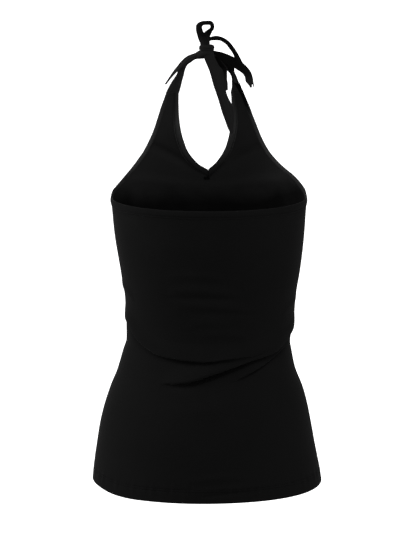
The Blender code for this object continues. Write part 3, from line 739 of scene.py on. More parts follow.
# %% [markdown]
# The two neck bindings meet at the V in a mitre: each runs on past the middle and is cut off square there. The
# small gap between them is the seam, a fine dark line. The armhole bindings start at the side seams, where the
# wider binding of the back ends. At the straps' ends all of them thin down, because the ties are sewn over
# them.

# %% Bindings of neck, armholes and back
MITRE_RUN_ON = 9.0
MITRE_GAP = 0.12  # from the middle to each binding
STRAP_OVERLAP = 6.0  # length in which the ties lie over the bindings
END_HEIGHT = 0.35  # share of their height to which the bindings thin down there
V_X = float(NECKLINE["centre_x"][0])

bindings = []
for side, hand in ((1, "left"), (-1, "right")):
    for edge, name, start, seed, mitre, widths in (
        (necklines[side], "neck", -MITRE_RUN_ON, 11 + side, (side, V_X + side * MITRE_GAP), NECK_WIDTH),
        (armholes[side], "armhole", 0.0, 21 + side, None, ARM_WIDTH),
    ):
        stations = np.linspace(start, edge.length, int((edge.length - start) / BINDING_STEP))
        point, _, away, outwards = edge.frame(stations)
        reaches = edge.inside(stations, column(widths, "mm", point[:, 2]))
        bindings.append(binding(
            f"{name}_binding_{hand}", point, away, outwards, reaches,
            FRONT_SECTION_WIDTH, seed, mitre, STRAP_OVERLAP,
        ))

q = np.linspace(-1, 1, int(back_form.girth.max() * 2 / BINDING_STEP))
_, up, outwards = back_form.directions(q, back_top(q))
reaches = back_form.at(q, back_top(q) - BACK_BINDING_WIDTH)
bindings.append(
    binding("back_binding", back_form.at(q, back_top(q)), up, outwards, reaches, BACK_BINDING_WIDTH, seed=31)
)
print("bindings:", ", ".join(piece.name for piece in bindings))

# %% [markdown]
# ## Ties, loop and tails as strips
#
# A tie is a tube of jersey, turned right side out and pressed flat, so it has two soft, rolled edges and
# hardly any stiffness. Every tie, loop and tail below is drawn in the same way: as its two edges, a and b,
# through space, dressed with a flat section that has rounded edges, a slight curl, and creases that run along
# it and wander a little. A curve with a bevel would be quicker to make, but its edges couldn't part, meet and
# turn over each other as those of cloth do.

# %% Section of a flat tube
STRIP_COLUMNS = "ax ay az bx by bz"
STRIP_STEP, FEWEST_STEPS = 1.1, 12  # between sections
TIE_WALL = 1.7
THINNING = (0.3, 0.7)  # shares of the length between which the wall changes
SOFT_EDGE = 1.1  # by which the rounded edges stand out beyond a and b
ROUNDEST = 0.9  # share of the width that its wall reaches at most
START_HEIGHT = 0.2  # share of its thickness with which a strip with rims starts
CURL_SHARE = 0.4  # of the length, in which a curl changes
CREASE_WANDER, CREASE_ENDS = 0.06, 0.04  # shares of the width and of the length
END_REACH = 6.0  # length in which an end is drawn out or notched
EDGE_POINTS, FACE_POINTS = 5, 17  # of a section's round edge and of each of its faces


def strip_section(width, wall):
    """Distances from the middle and heights of a flat tube's points, with a row for each station."""
    radius = np.minimum(wall, ROUNDEST * width)[:, None] / 2
    flat = (width[:, None] / 2 - radius).clip(0)
    turn = np.radians(np.linspace(90, -90, EDGE_POINTS + 2))[1:-1]
    face = np.linspace(-1, 1, FACE_POINTS)
    at = np.hstack([face * flat, flat + radius * np.cos(turn), -face * flat, -flat - radius * np.cos(turn)])
    height = np.hstack([radius + 0 * face, radius * np.sin(turn), -radius + 0 * face, -radius * np.sin(turn)])
    return at, height


def flat_cap():
    """Faces that close a flat tube's end from edge to edge, so that it may be cut to a fork."""
    half = FACE_POINTS + EDGE_POINTS
    last = 2 * half - EDGE_POINTS - 1
    cap = [[i, i + 1, last - i - 1, last - i] for i in range(FACE_POINTS - 1)]
    return cap + [list(range(FACE_POINTS - 1, half + 1)), [*range(last, 2 * half), 0]]


print("points round a strip:", 2 * (FACE_POINTS + EDGE_POINTS))

# %% [markdown]
# The strip goes through its two edges' tables with smooth curves. At each station the section lies across from
# a to b, and what the cloth does there is added to its height: rims, a curl and creases.

# %% Strip between two edges


def strip(
    name, rows, first=None, wall=(TIE_WALL, TIE_WALL), curl=0.0, rims=None, creases=(), ends=((0, 0),), seed=0
):
    """A flat, soft tube between two edges a and b, with its thickness at either end.

    first is a station before those of rows. wall is for the start and for the end. curl bends the section, as a
    share of the width; two values are for its start and for the rest. rims are (extra thickness, width, run in
    which they fade). A crease is (start, end, height, width): shares from edge a to edge b where it starts and
    ends, and mm. ends are points (share, mm) by which the last edge juts out or is notched.
    """
    data = np.array([rows[key] for key in STRIP_COLUMNS.split()]).T
    if first is not None:
        data = np.vstack([first, data])
    knots = lengths(data[:, :3] + data[:, 3:], 0) / 2
    run = np.linspace(0, knots[-1], max(FEWEST_STEPS, int(knots[-1] / STRIP_STEP)))
    edges = np.stack([smooth(run, knots, values) for values in data.T], -1)
    a, b = edges[:, :3], edges[:, 3:]
    middle = (a + b) / 2
    onward = unit(np.gradient(middle, axis=0))
    across = unit(b - a)
    face = unit(np.cross(onward, across))
    width = np.linalg.norm(b - a, axis=1) + 2 * SOFT_EDGE
    at, height = strip_section(width, np.interp(run / run[-1], THINNING, wall))
    share = at / width[:, None] + 0.5
    from_edge = (width[:, None] / 2 - np.abs(at)).clip(0)
    if rims:
        extra, rim_width, fade = rims
        height = height * np.interp(run, (0, STRAP_OVERLAP), (START_HEIGHT, 1))[:, None]
        rim = np.exp(-((from_edge / rim_width) ** 4)) * np.exp(-((run / fade) ** 2))[:, None]
        height = height * (1 + extra * rim)
    along = run[:, None] / run[-1]
    bend = np.interp(along, (0, CURL_SHARE), np.broadcast_to(curl, 2))
    lift = bend * width[:, None] * (1 - (2 * share - 1) ** 2)
    for i, (start, end, size, spread) in enumerate(creases):
        wander = CREASE_WANDER * uneven(run, seed + i)[:, None]
        off = (share - start - (end - start) * along - wander) * width[:, None]
        fade = np.sin(np.pi * along.clip(CREASE_ENDS, 1 - CREASE_ENDS)) ** 0.5
        lift = lift + size * np.exp(-((off / spread) ** 2)) * fade
    near_end = np.clip((run[:, None] - run[-1]) / END_REACH + 1, 0, 1)
    jut = np.interp(share, *np.array(ends, float).T) * near_end**2
    grid = middle[:, None] + at[..., None] * across[:, None] + (height + lift)[..., None] * face[:, None]
    grid = grid + jut[..., None] * onward[:, None]
    return tube_piece(name, grid, run, flat_cap())


print("a station every", STRIP_STEP, "mm")

# %% [markdown]
# ## Two ties
#
# The first station of a tie is a little wider than its strap with both bindings, and lies just over the strap's
# end, where the two are sewn together. There the bindings still show through it as thick rims; towards the
# knot it is gathered, turns edge on and creases lengthwise.

# %% Ties
TIE_LEFT = table(STRIP_COLUMNS, (
    (53.2, -57, -50, 39, -60, -50.4), (49.8, -51, -43.8, 37.6, -54, -44.2),
    (46.2, -45, -38, 36.2, -48, -38.8), (43.2, -41, -32.8, 34.8, -44, -33.8),
    (41.6, -37, -27.6, 33.4, -40, -27.8), (39.2, -31, -21.2, 31.6, -34, -22.4),
    (35.4, -26, -14.6, 29, -28, -17.6), (30.8, -20, -8.8, 24.2, -22, -13.4),
    (24.8, -13, -4.4, 19.6, -14, -9.4), (17.6, -5, -0.4, 15.6, -5, -6.8), (11.2, 1, 2.4, 9.2, 1, -5.8),
    (4.8, 4, 5.4, 2, 4, -4.8),
))
TIE_RIGHT = table(STRIP_COLUMNS, (
    (-45, -52, -47.2, -36.8, -57, -48), (-42.8, -47, -41, -36.6, -53, -42),
    (-40.6, -42, -35, -36, -49, -37), (-38.4, -37, -29, -34, -45, -32.2),
    (-38.2, -31, -22.8, -31.2, -42, -28), (-41.6, -24, -15.2, -28.8, -38, -25.4),
    (-39.6, -18, -9, -25.4, -33, -21.6), (-32.8, -13, -4.4, -20.6, -26, -15.4),
    (-25.6, -8, -1, -16, -19, -9.8), (-19, -4, 1.6, -11.8, -12, -5.4), (-12.6, 0, 3.2, -7.6, -6, -1.8),
    (-6.2, 3, 5.4, -5.2, -1, 0.2), (-0.2, 4, 8.2, -0.2, 2, 2.4),
))
STRAP_BEYOND = 1.2  # from the cloth's edge to the tie's
RIMS = (0.8, 4.5, 34.0)


def strap_end(side):
    """Edges of the strap with its bindings, where the tie begins over it."""
    ends = []
    for edge in (armholes[side], necklines[side]):
        point, _, beyond, outwards = (value[0] for value in edge.frame(np.array([edge.length - STRAP_OVERLAP])))
        ends += [*(point + beyond * STRAP_BEYOND + outwards * ease(point[2]))]
    return ends


ties = [
    strip("tie_cloth_left", TIE_LEFT, strap_end(1), curl=(0.006, -0.03), rims=RIMS, seed=41,
          creases=((0.3, 0.35, 1.0, 1.8), (0.72, 0.6, -1.1, 1.6), (0.9, 0.88, 0.8, 1.2))),
    strip("tie_cloth_right", TIE_RIGHT, strap_end(-1), curl=(-0.006, -0.03), rims=RIMS, seed=43,
          creases=((0.25, 0.3, 0.7, 2.0), (0.8, 0.82, -1.0, 1.4), (0.93, 0.93, 1.5, 1.2))),
]
print("ties:", ", ".join(piece.name for piece in ties))

# %% [markdown]
# ## The bow loop
#
# One loop stands up out of the knot. The tie goes up broad, turns over at the top and comes back down narrow
# and edge on, so that a small eye stays open. It stands because a pressed tube is two layers with the seam's
# turnings between them, and the knot grips its foot.

# %% Bow loop
TIE_LOOP = table(STRIP_COLUMNS, (
    (0.6, 9, 6.6, 8.6, 6, 6.2), (-0.4, 12, 15.6, 9.2, 7, 15.2), (0, 14, 21.8, 11.4, 7, 20.8),
    (2.2, 15, 27.4, 13.2, 7, 26.4), (5.8, 16, 31.8, 14.6, 7, 31.8), (7.8, 16, 36, 15.2, 6, 36),
    (8.4, 16, 39.6, 15, 6, 40.4), (6.4, 16, 42.6, 11.6, 6, 44.4), (2.8, 16, 43.4, 4.2, 6, 46.4),
    (-1.4, 15, 43.4, -3.2, 5, 46.6), (-4.2, 13, 42.4, -7.2, 4, 44.4), (-5.2, 10, 39.6, -8.8, 4, 40.6),
    (-4.2, 6, 36.8, -8.4, 3, 36.2), (0, 2, 33.6, -6.4, 2, 33), (3.6, -2, 29.6, -4.6, 1, 29),
    (3.6, -4, 23.8, -2.8, 1, 24.2), (2.6, -3, 14.6, -2.4, 1, 15), (0.8, -1, 5.6, -2.8, 2, 5.8),
))
loop = strip("bow_loop", TIE_LOOP, wall=(2.2, 1.8), curl=0.08, seed=47, creases=((0.4, 0.5, 0.5, 1.2),))
print("bow loop:", len(loop.data.polygons), "faces")

# %% [markdown]
# ## Four loose tails
#
# The ends come out of the knot and fall as they like: a long one down the right, a short one between it and
# the strap, one that springs up in an arch before it hangs, and a thin one that lies on the left tie. Jersey is
# cut with scissors and then frays and rolls, so the last edge of the longer ones is drawn as points that jut
# out or are notched.

# %% Long and short tail
TAIL_LONG = table(STRIP_COLUMNS, (
    (2.8, 8, 7.2, -7.4, 7, 7.8), (4, 11, -2.4, -8.2, 9, -0.6), (2.2, 11, -8.8, -11.2, 8, -7.8),
    (-1.2, 10, -16.8, -15.4, 7, -15.8), (-4.2, 10, -24.6, -21.4, 5, -24), (-7, 9, -34.6, -23, 4, -33.8),
    (-9.6, 8, -44, -25.4, 3, -43.2), (-12.8, 7, -53.4, -26, 2, -53.4), (-16.2, 6, -63.6, -29.2, 1, -63),
    (-19, 5, -73, -33.4, 1, -71), (-22.2, 4, -83.8, -36.6, 1, -80.6), (-26.2, 4, -94.6, -37.2, 1, -91.4),
    (-29.6, 3, -104.2, -36.6, 1, -102.2), (-34, 3, -113.6, -35.8, 2, -112.6),
))
TAIL_SHORT = table(STRIP_COLUMNS, (
    (-3, 4, 4.6, -7.2, 2, 5.2), (-7.4, -3, -4.6, -13.4, -7, -4.2), (-9.4, -6, -11.2, -17.8, -11, -11),
    (-12.8, -6, -18.8, -23.8, -11, -18.8), (-18.6, -4, -26, -27.2, -8, -25),
    (-22, -3, -36.6, -27.2, -7, -36.4), (-24, -4, -44.4, -28.2, -7, -43.2),
    (-26, -5, -52.8, -28.4, -7, -51.6),
))
tails = [
    strip("long_tail", TAIL_LONG, curl=0.07, seed=51, creases=((0.3, 0.3, 0.9, 1.5), (0.72, 0.8, -0.8, 1.3)),
          ends=((0, 0), (0.5, 0.4), (1, 1.2))),
    strip("short_tail", TAIL_SHORT, curl=0.06, seed=53, creases=((0.4, 0.45, 0.8, 1.3),),
          ends=((0, 2.0), (0.35, -0.4), (0.6, 0.8), (1, 0))),
]
print("tails:", ", ".join(piece.name for piece in tails))

# %% [markdown]
# The other two leave the knot sideways and are thicker there, where the cloth is still bunched. The arched tail
# ends in the deepest notches, and the left one gets thin and narrow towards its end.

# %% Arched and left tail
TAIL_ARC = table(STRIP_COLUMNS, (
    (0.6, 0, 9.2, -0.8, -4, 10.2), (0, -3, 14.2, -0.8, -7, 16.2), (-1.4, -4, 17.8, -1.4, -8, 20.8),
    (-4.6, -3, 19.6, -4.6, -7, 22.4), (-8.6, -1, 20.2, -8.6, -6, 23.6), (-13, 1, 20.4, -13, -5, 24.2),
    (-17.6, 2, 20.2, -18.2, -4, 23.2), (-22.2, 3, 18, -24.4, -4, 20.6), (-27.2, 4, 14.6, -30.2, -4, 16.2),
    (-31.6, 4, 8.8, -35.4, -4, 10.2), (-35.6, 5, 3.4, -39.6, -3, 4.4), (-38.4, 6, -2.4, -43, -3, -1),
    (-39, 8, -8, -46.2, -2, -6.8), (-37, 9, -14.4, -49.6, -1, -12.8), (-41, 10, -19.8, -54.4, 0, -17.4),
    (-46.6, 10, -23.4, -59.2, 0, -23), (-51.8, 10, -27.8, -62.2, 0, -28.4),
    (-54.4, 9, -33.2, -63.8, 1, -33.8), (-55, 9, -37.8, -64.8, 1, -39.8),
))
TAIL_LEFT = table(STRIP_COLUMNS, (
    (5.6, 7, 2.8, 5.6, 3, 6), (11.2, 8, 1.4, 11.6, 3, 4.2), (16.8, 8, -2, 17.2, 2, 0.8),
    (25.8, 7, -6.2, 26.8, 1, -2.8), (33.8, 6, -14, 35.4, 0, -9.4), (40.4, 6, -21, 42.8, 1, -18.2),
    (45.2, 5, -25.8, 47.4, 1, -24), (50.6, 5, -31.6, 52.2, 2, -30.8), (55.6, 4, -37.8, 56.4, 2, -37.2),
    (59.6, 3, -43.2, 60.2, 2, -43),
))
tails += [
    strip("arched_tail", TAIL_ARC, curl=0.1, wall=(2.6, 1.6), seed=57,
          creases=((0.35, 0.3, 0.9, 1.1), (0.7, 0.65, -0.9, 1.1)),
          ends=((0, 0), (0.3, 5.5), (0.45, 9.0), (0.58, 8.5), (0.68, 3.6), (0.82, 3.2), (0.92, 6.5), (1, 8.5))),
    strip("left_tail", TAIL_LEFT, wall=(2.2, 1.4), seed=59),
]
print("tails:", ", ".join(piece.name for piece in tails))

# %% [markdown]
# ## Rolled rims
#
# Where the right tie is pulled over to the knot, its edges roll under. Two of these rolls stand out enough to
# be strips of their own: the one down the outer edge of the strap, which is darkened by painted shade, and the
# thin one along the tie's rim.

# %% Rolled rims
ROLLED_EDGE = table(STRIP_COLUMNS, (
    (-39.4, -46, -46, -46, -46, -46.8), (-42, -50, -50.8, -47.6, -51, -51.2),
    (-45.6, -55, -57.8, -50, -57, -58), (-49.6, -62, -65.8, -53.6, -63, -66),
    (-52.8, -68, -73.8, -56.8, -70, -74.2), (-56, -74, -82, -59.4, -75, -82),
    (-59.2, -79, -90, -62.2, -81, -90.2), (-62.4, -84, -96.6, -64.2, -85, -96.6),
))
TIE_RIM = table(STRIP_COLUMNS, (
    (-5.2, 8, 2, -6, 8, 3), (-7.8, 1, -1.8, -8.8, 1, -0.6), (-11.6, -7, -6.2, -12.6, -7, -5.2),
    (-15.8, -15, -11, -16.8, -15, -10), (-20, -22, -16.4, -21.2, -22, -15.2),
    (-24.4, -29, -22, -25.6, -29, -20.8), (-28, -35, -25.8, -28.8, -35, -25),
))
rolled = [
    strip("rolled_edge", ROLLED_EDGE, wall=(1.2, 1.0), curl=0.12, seed=61),
    strip("rolled_rim", TIE_RIM, wall=(1.6, 1.6), seed=63),
]
print("rims:", ", ".join(piece.name for piece in rolled))

# %% [markdown]
# ## The knot
#
# The knot is cloth too: one tie goes round the others and is pulled tight. It shows as a roll that lies level
# round the foot of the bow, with the rims of its folds on it, and as a band that crosses below the roll and
# comes down to the left tie. The roll is a barrel whose section is drawn in by creases that run round it and
# slope a little; the band is one more strip. What goes on inside a knot never shows, so it isn't modelled.

# %% Knot
KNOT_CENTRE, KNOT_RADII, KNOT_TILT = (0.8, 7.5, 4.4), (11.2, 7.5, 10.0), 2.0  # in mm, and in degrees
AROUND, ACROSS = 96, 80  # points round the barrel and from end to end
LEAST_SHARE = 0.02  # so that its ends stay open enough to be closed by one small face
SQUARENESS, SIDE_CREASE = 0.8, 0.3  # how full the sides are, and the share of a crease that reaches them
# The barrel's outline, from its lower to its upper end
KNOT_SECTION = table("rise share", (
    (-1.0, 0.0), (-0.95, 0.3), (-0.8, 0.5), (-0.5, 0.62), (-0.25, 0.66), (-0.12, 0.6), (-0.04, 0.5),
    (0.03, 0.66), (0.08, 0.76), (0.2, 0.9), (0.35, 0.97), (0.5, 1.0), (0.65, 0.98), (0.8, 0.9),
    (0.92, 0.74), (0.98, 0.5), (1.0, 0.0),
))
CROSS_WRAP = table(STRIP_COLUMNS, (
    (16.8, 6, -5, 18.4, 3, -2), (12.4, 9, -3.4, 13.6, 6, 1.2), (7.4, 12, -0.8, 8.2, 9, 4),
    (1.6, 13, 1.6, 2.2, 10, 5.8), (-3.2, 11, 2.4, -3.4, 8, 5.8), (-7.2, 6, 2.6, -7.4, 4, 5),
))
# How high a crease runs round the barrel, its slope, width and depth
KNOT_CREASES = ((0.46, 0.1, 0.06, 1.3), (-0.5, 0.15, 0.09, 1.0))


def wrap(name, centre, radii, tilt, section, creases):
    """A barrel of wound cloth; creases are in shares of its half height, but for their depth in mm."""
    turn = np.linspace(0, 2 * np.pi, AROUND, endpoint=False)
    rise = -np.cos(np.linspace(0, np.pi, ACROSS))[:, None]
    fullness = column(section, "share", rise, "rise").clip(LEAST_SHARE, None)
    depth = sum(
        size * np.exp(-(((rise - at - slope * np.cos(turn)) / width) ** 2))
        for at, slope, width, size in creases
    )
    reach = fullness * (1 - depth / radii[1])
    sides = radii[0] * (fullness + SIDE_CREASE * (reach - fullness)) ** SQUARENESS
    grid = np.stack([sides * np.cos(turn), radii[1] * reach * np.sin(turn), radii[2] * (rise + 0 * turn)], -1)
    cos, sin = np.cos(np.radians(tilt)), np.sin(np.radians(tilt))
    grid = grid @ np.array([[cos, 0, -sin], [0, 1, 0], [sin, 0, cos]]) + centre
    return tube_piece(name, grid, lengths(grid, 0)[:, 0])


knots = [
    wrap("knot_wrap", KNOT_CENTRE, KNOT_RADII, KNOT_TILT, KNOT_SECTION, KNOT_CREASES),
    strip("knot_cross_wrap", CROSS_WRAP, wall=(2.8, 3.0), curl=0.1, seed=67, creases=((0.4, 0.5, 0.5, 0.8),)),
]
print("knot:", ", ".join(piece.name for piece in knots))

# %% [markdown]
# ## Stitches
#
# All sewing is done in black thread on black cloth, so a stitch only shows as a tiny bead that catches the
# light, or a darker speck where the cloth round it is greyer. Each is a short piece of thread that comes out of
# the cloth, lies on it and goes back in. One could draw them as a texture, but real ones throw the small
# shadows that make a seam look sewn.

# %% Stitches
STITCH_PITCH, STITCH_LENGTH, THREAD_RADIUS = 2.9, 2.2, 0.24
THREAD_SIDES = 6
# Rings of one stitch: where along it, how thick and how high it lies, in shares of its length and radius
STITCH_RINGS = ((-0.5, 0.4, -0.6), (-0.36, 1.0, 0.3), (0.0, 1.0, 0.7), (0.36, 1.0, 0.3), (0.5, 0.4, -0.6))


def resample(points, outwards, pitch):
    """Points and directions at an even pitch along a curve."""
    run = lengths(points, 0)
    stops = np.arange(pitch / 2, run[-1] - pitch / 2, pitch)
    return [np.stack([np.interp(stops, run, values) for values in data.T], -1) for data in (points, outwards)]


def stitching(name, seams, pitch=STITCH_PITCH, length=STITCH_LENGTH, radius=THREAD_RADIUS, lean=0.0):
    """One object of stitches along the seams, each a curve of points with its outward directions.

    lean turns every second stitch to the left and the others to the right, as in a zigzag.
    """
    turn = np.linspace(0, 2 * np.pi, THREAD_SIDES, endpoint=False)
    share, thin, rise = np.array(STITCH_RINGS).T
    points = []
    for curve, outwards in seams:
        at, out = resample(curve, outwards, pitch)
        out = unit(out)
        along = unit(np.gradient(at, axis=0))
        side = unit(np.cross(out, along))
        zigzag = np.where(np.arange(len(at)) % 2, lean, -lean)[:, None]
        along, side = unit(along + zigzag * side), unit(side - zigzag * along)
        centre = at[:, None] + length * share[:, None] * along[:, None] + radius * rise[:, None] * out[:, None]
        spoke = np.cos(turn)[:, None] * side[:, None] + np.sin(turn)[:, None] * out[:, None]
        points.append(centre[:, :, None] + radius * thin[:, None, None] * spoke[:, None])
    points = np.concatenate(points)
    rings, sides = len(STITCH_RINGS), THREAD_SIDES
    one = grid_faces(rings, sides, ring=True)[:, ::-1].tolist()
    one += [list(range(sides)), list(range((rings - 1) * sides, rings * sides))[::-1]]
    size = rings * sides
    faces = [[corner + size * i for corner in face] for i in range(len(points)) for face in one]
    uv = np.stack(np.broadcast_arrays(radius * turn, length * (share[:, None] + 0.5)), -1)
    uv = np.broadcast_to(uv, (*points.shape[:-1], 2))
    return new_piece(name, points.reshape(-1, 3), faces, uv.reshape(-1, 2), closed=True)


print("faces of one stitch:", (len(STITCH_RINGS) - 1) * THREAD_SIDES + 2)

# %% [markdown]
# A binding is sewn through with one row that shows on both of its faces, in the groove that it makes. The
# thread on the wearer's side is the fuller one.

# %% Stitches of the bindings
BINDING_GROOVE = 0.5  # height of the binding's groove above the middle of the cloth
WORN_RADIUS = 0.36  # of the thread on the wearer's side
NECK_SEAM_START, ARM_SEAM_START = -2.0, 2.0  # distances along the edges
FACES = ((1, "outer"), (-1, "inner"))
seam_q = np.linspace(-1, 1, 240)  # places along a seam that runs round a whole panel


def on_binding(edge, start, widths, face):
    """The seam of a binding on one face of the cloth."""
    stations = np.linspace(start, edge.length, int((edge.length - start) / BINDING_STEP))
    point, _, _, outwards = edge.frame(stations)
    seam = point + BINDING_STITCH * (edge.inside(stations, column(widths, "mm", point[:, 2])) - point)
    return seam + (ease(seam[:, 2:]) + face * BINDING_GROOVE) * outwards, face * outwards


for face, name in FACES:
    seams = [on_binding(necklines[side], NECK_SEAM_START, NECK_WIDTH, face) for side in (1, -1)]
    seams += [on_binding(armholes[side], ARM_SEAM_START, ARM_WIDTH, face) for side in (1, -1)]
    _, _, outwards = back_form.directions(seam_q, back_top(seam_q))
    seam = back_form.at(seam_q, back_top(seam_q) - BINDING_STITCH * BACK_BINDING_WIDTH)
    seams.append((seam + (ease(seam[:, 2:]) + face * BINDING_GROOVE) * outwards, face * outwards))
    radius = THREAD_RADIUS if face == 1 else WORN_RADIUS
    bindings.append(stitching(f"binding_stitches_{name}", seams, radius=radius))
print("bindings' seams:", len(seams), "on each face")

# %% [markdown]
# The mitre of the neck bindings is closed by dense stitches down its middle. Just below its foot a tack of two
# short rows, a little to the left, keeps the V from tearing. Both go through all layers.

# %% Mitre and its tack
MITRE_TOP_Z, MITRE_FOOT_Z = -197.2, -208.0
TACK_HALF, TACK_HEIGHT = 4.4, 1.6  # half its length, and how high it lies above the middle of the cloth
TACK_ROWS = ((2.6, -207.4), (2.2, -209.6))  # middle of each row, from the V's, and its height
ROW_POINTS = 12
for face, name in FACES:
    rows = [(V_X + np.zeros(ROW_POINTS), np.linspace(MITRE_TOP_Z, MITRE_FOOT_Z, ROW_POINTS))]
    across = V_X + np.linspace(-TACK_HALF, TACK_HALF, ROW_POINTS)
    rows += [(across + off_middle, height + np.zeros(ROW_POINTS)) for off_middle, height in TACK_ROWS]
    seams = []
    for x, z in rows:
        q = np.array([front_form.q_of(*place) for place in zip(x, z)])
        _, _, outwards = front_form.directions(q, z)
        lift = ease(z)[:, None] + face * TACK_HEIGHT
        seams.append((front_form.at(q, z) + lift * outwards, face * outwards))
    bindings.append(stitching(f"mitre_tack_{name}", seams, pitch=0.45, length=2.6, radius=0.3, lean=2.4))
print("tack:", len(TACK_ROWS), "rows,", 2 * TACK_HALF, "mm long")

# %% [markdown]
# The hem is sewn with a twin needle, which leaves two rows of stitches side by side on the outside.

# %% Stitches of the hem
hem_seams = []
for form, folds in ((front_form, FRONT_FOLDS), (back_form, BACK_FOLDS)):
    for z in HEM_STITCHES:
        _, _, outwards = form.directions(seam_q, z)
        hem_seams.append((dressed(form, folds, seam_q, z) + 0.5 * WALL * outwards, outwards))
hem_stitches = stitching("hem_stitches", hem_seams)
print("hem:", len(hem_seams), "rows of stitches,", len(hem_stitches.data.polygons), "faces")

# %% [markdown]
# ## Inside the seams
#
# The side seams are overlocked: the two raw edges are trimmed to 6 mm and wrapped in a zigzag of thread. The
# allowance is pressed towards the back, where it lies along the inside as a narrow ribbon.

# %% Seam allowances
ALLOWANCE_WIDTH, ALLOWANCE_WALL = 6.0, 1.1
ALLOWANCE_FROM = 0.3  # distance of its near edge from the seam
ALLOWANCE_DEPTH = 1.4  # of its middle inside the cloth's
ROOT_DEPTH = 0.3  # how much deeper its near edge lies
ALLOWANCE_POINTS = 320
OVERLOCK_HEIGHT = 0.6
allowances = []
z = np.linspace(HEM_Z + HEM_ALLOWANCE + 1, CORNER_Z - BACK_BINDING_WIDTH - 1, ALLOWANCE_POINTS)
girth = np.interp(z, back_form.levels, back_form.girth)
for side, hand in ((1, "left"), (-1, "right")):
    near, far = (side * (1 - distance / girth) for distance in (ALLOWANCE_FROM, ALLOWANCE_WIDTH))
    a, b = (
        dressed(back_form, BACK_FOLDS, q, z, depth=ALLOWANCE_DEPTH + deeper)
        for q, deeper in ((near, ROOT_DEPTH), (far, 0.0))
    )
    rows = dict(zip(STRIP_COLUMNS.split(), np.hstack([a, b]).T))
    allowances.append(strip(f"seam_allowance_{hand}", rows, wall=(ALLOWANCE_WALL, ALLOWANCE_WALL)))
    inwards = -back_form.directions(near, z)[2]
    seams = [((a + b) / 2 + OVERLOCK_HEIGHT * inwards, inwards)]
    allowances.append(
        stitching(f"overlock_{hand}", seams, pitch=1.8, length=ALLOWANCE_WIDTH, radius=0.2, lean=2.4)
    )
print("allowances:", ", ".join(piece.name for piece in allowances))

# %% [markdown]
# ## Colours and nodes
#
# Colours are given as the hex codes that a colour picker shows, and Blender's shaders want linear values, so
# one function turns the one into the other. Another adds a node with its settings and links. What stays the
# same all over a material is set on the shader itself, and only what changes comes from nodes: here two colours
# that mottle each other, as no dye takes quite evenly, and a relief.

# %% Helpers for materials
SPECULAR = 0.01  # black cloth and thread are matt: hardly any light comes back as gloss
MOTTLE_DETAIL = 3.0


def linear(code):
    """A hex colour as linear values."""
    values = [int(code[i : i + 2], 16) / 255 for i in (1, 3, 5)]
    return [*(v / 12.92 if v <= 0.04045 else ((v + 0.055) / 1.055) ** 2.4 for v in values), 1.0]


def add_node(tree, kind, inputs, **settings):
    """A node with its settings; an input is a value or another node's output."""
    node = tree.nodes.new(kind)
    for key, value in settings.items():
        setattr(node, key, value)
    for key, value in inputs.items():
        if isinstance(value, bpy.types.NodeSocket):
            tree.links.new(value, node.inputs[key])
        else:
            node.inputs[key].default_value = value
    return node


def maths(tree, operation, *values):
    return add_node(tree, "ShaderNodeMath", dict(enumerate(values)), operation=operation).outputs[0]


def new_material(name, roughness, sheen, sheen_roughness):
    """A material and its shader, with the values that stay the same all over it."""
    made = bpy.data.materials.new(name)
    made.use_nodes = True
    shader = made.node_tree.nodes["Principled BSDF"]
    shader.inputs["Roughness"].default_value = roughness
    shader.inputs["Sheen Weight"].default_value = sheen
    shader.inputs["Sheen Roughness"].default_value = sheen_roughness
    shader.inputs["Specular IOR Level"].default_value = SPECULAR
    return made, made.node_tree, shader


def mottling(tree, place, scale):
    """Soft patches on the object, from 0 to 1."""
    inputs = {"Vector": place.outputs["Object"], "Scale": scale, "Detail": MOTTLE_DETAIL}
    return add_node(tree, "ShaderNodeTexNoise", inputs).outputs[0]


def finish_material(tree, shader, colours, scale, height, strength, distance):
    """Mottles two colours by a noise on the object, and adds a bump."""
    place = add_node(tree, "ShaderNodeTexCoord", {})
    mottle = mottling(tree, place, scale)
    inputs = {0: mottle, 6: linear(colours[0]), 7: linear(colours[1])}
    mix = add_node(tree, "ShaderNodeMix", inputs, data_type="RGBA")
    bump = add_node(tree, "ShaderNodeBump", {"Height": height, "Strength": strength, "Distance": distance * MM})
    tree.links.new(mix.outputs[2], shader.inputs["Base Color"])
    tree.links.new(bump.outputs[0], shader.inputs["Normal"])


print("#808080 is", round(linear("#808080")[0], 3), "in linear values")

# %% [markdown]
# ## Black jersey
#
# Fine single jersey of viscose with a little elastane, piece dyed black. The eye sees a deep, soft black
# without any gloss; only where the cloth turns away does its fine fuzz catch the light, so that the edges of
# the body look a shade lighter. Close to, it's made of columns of tiny V's, the wales. The pattern is worked
# out on the UV map, in the cloth's own millimetres, and only as a bump. Viscose bends light about as much as
# the shader's own IOR of 1.5 says, so that stays.

# %% Black jersey
WALE, COURSE = 1.6, 1.2  # mm; the real ones are half as large, too fine to show from any distance
FACE = ("#090909", "#0b0b0b")  # the dye, and where it has faded
PRESSED = ("#101010", "#151515")  # a lighter black than the face, for the knot, tails and ties
ROUGHNESS = 0.8  # as usual for matt cloth
SHEEN, SHEEN_ROUGHNESS = 0.02, 0.4  # of the fuzz; more than this would grey the black
MOTTLE_SCALE = 22.0  # patches of about 45 mm
RELIEF = 0.35  # strength of the bump
CHEVRON, KNIT_DEPTH = 0.35, 0.12  # share of the V's in the relief, and its depth in mm


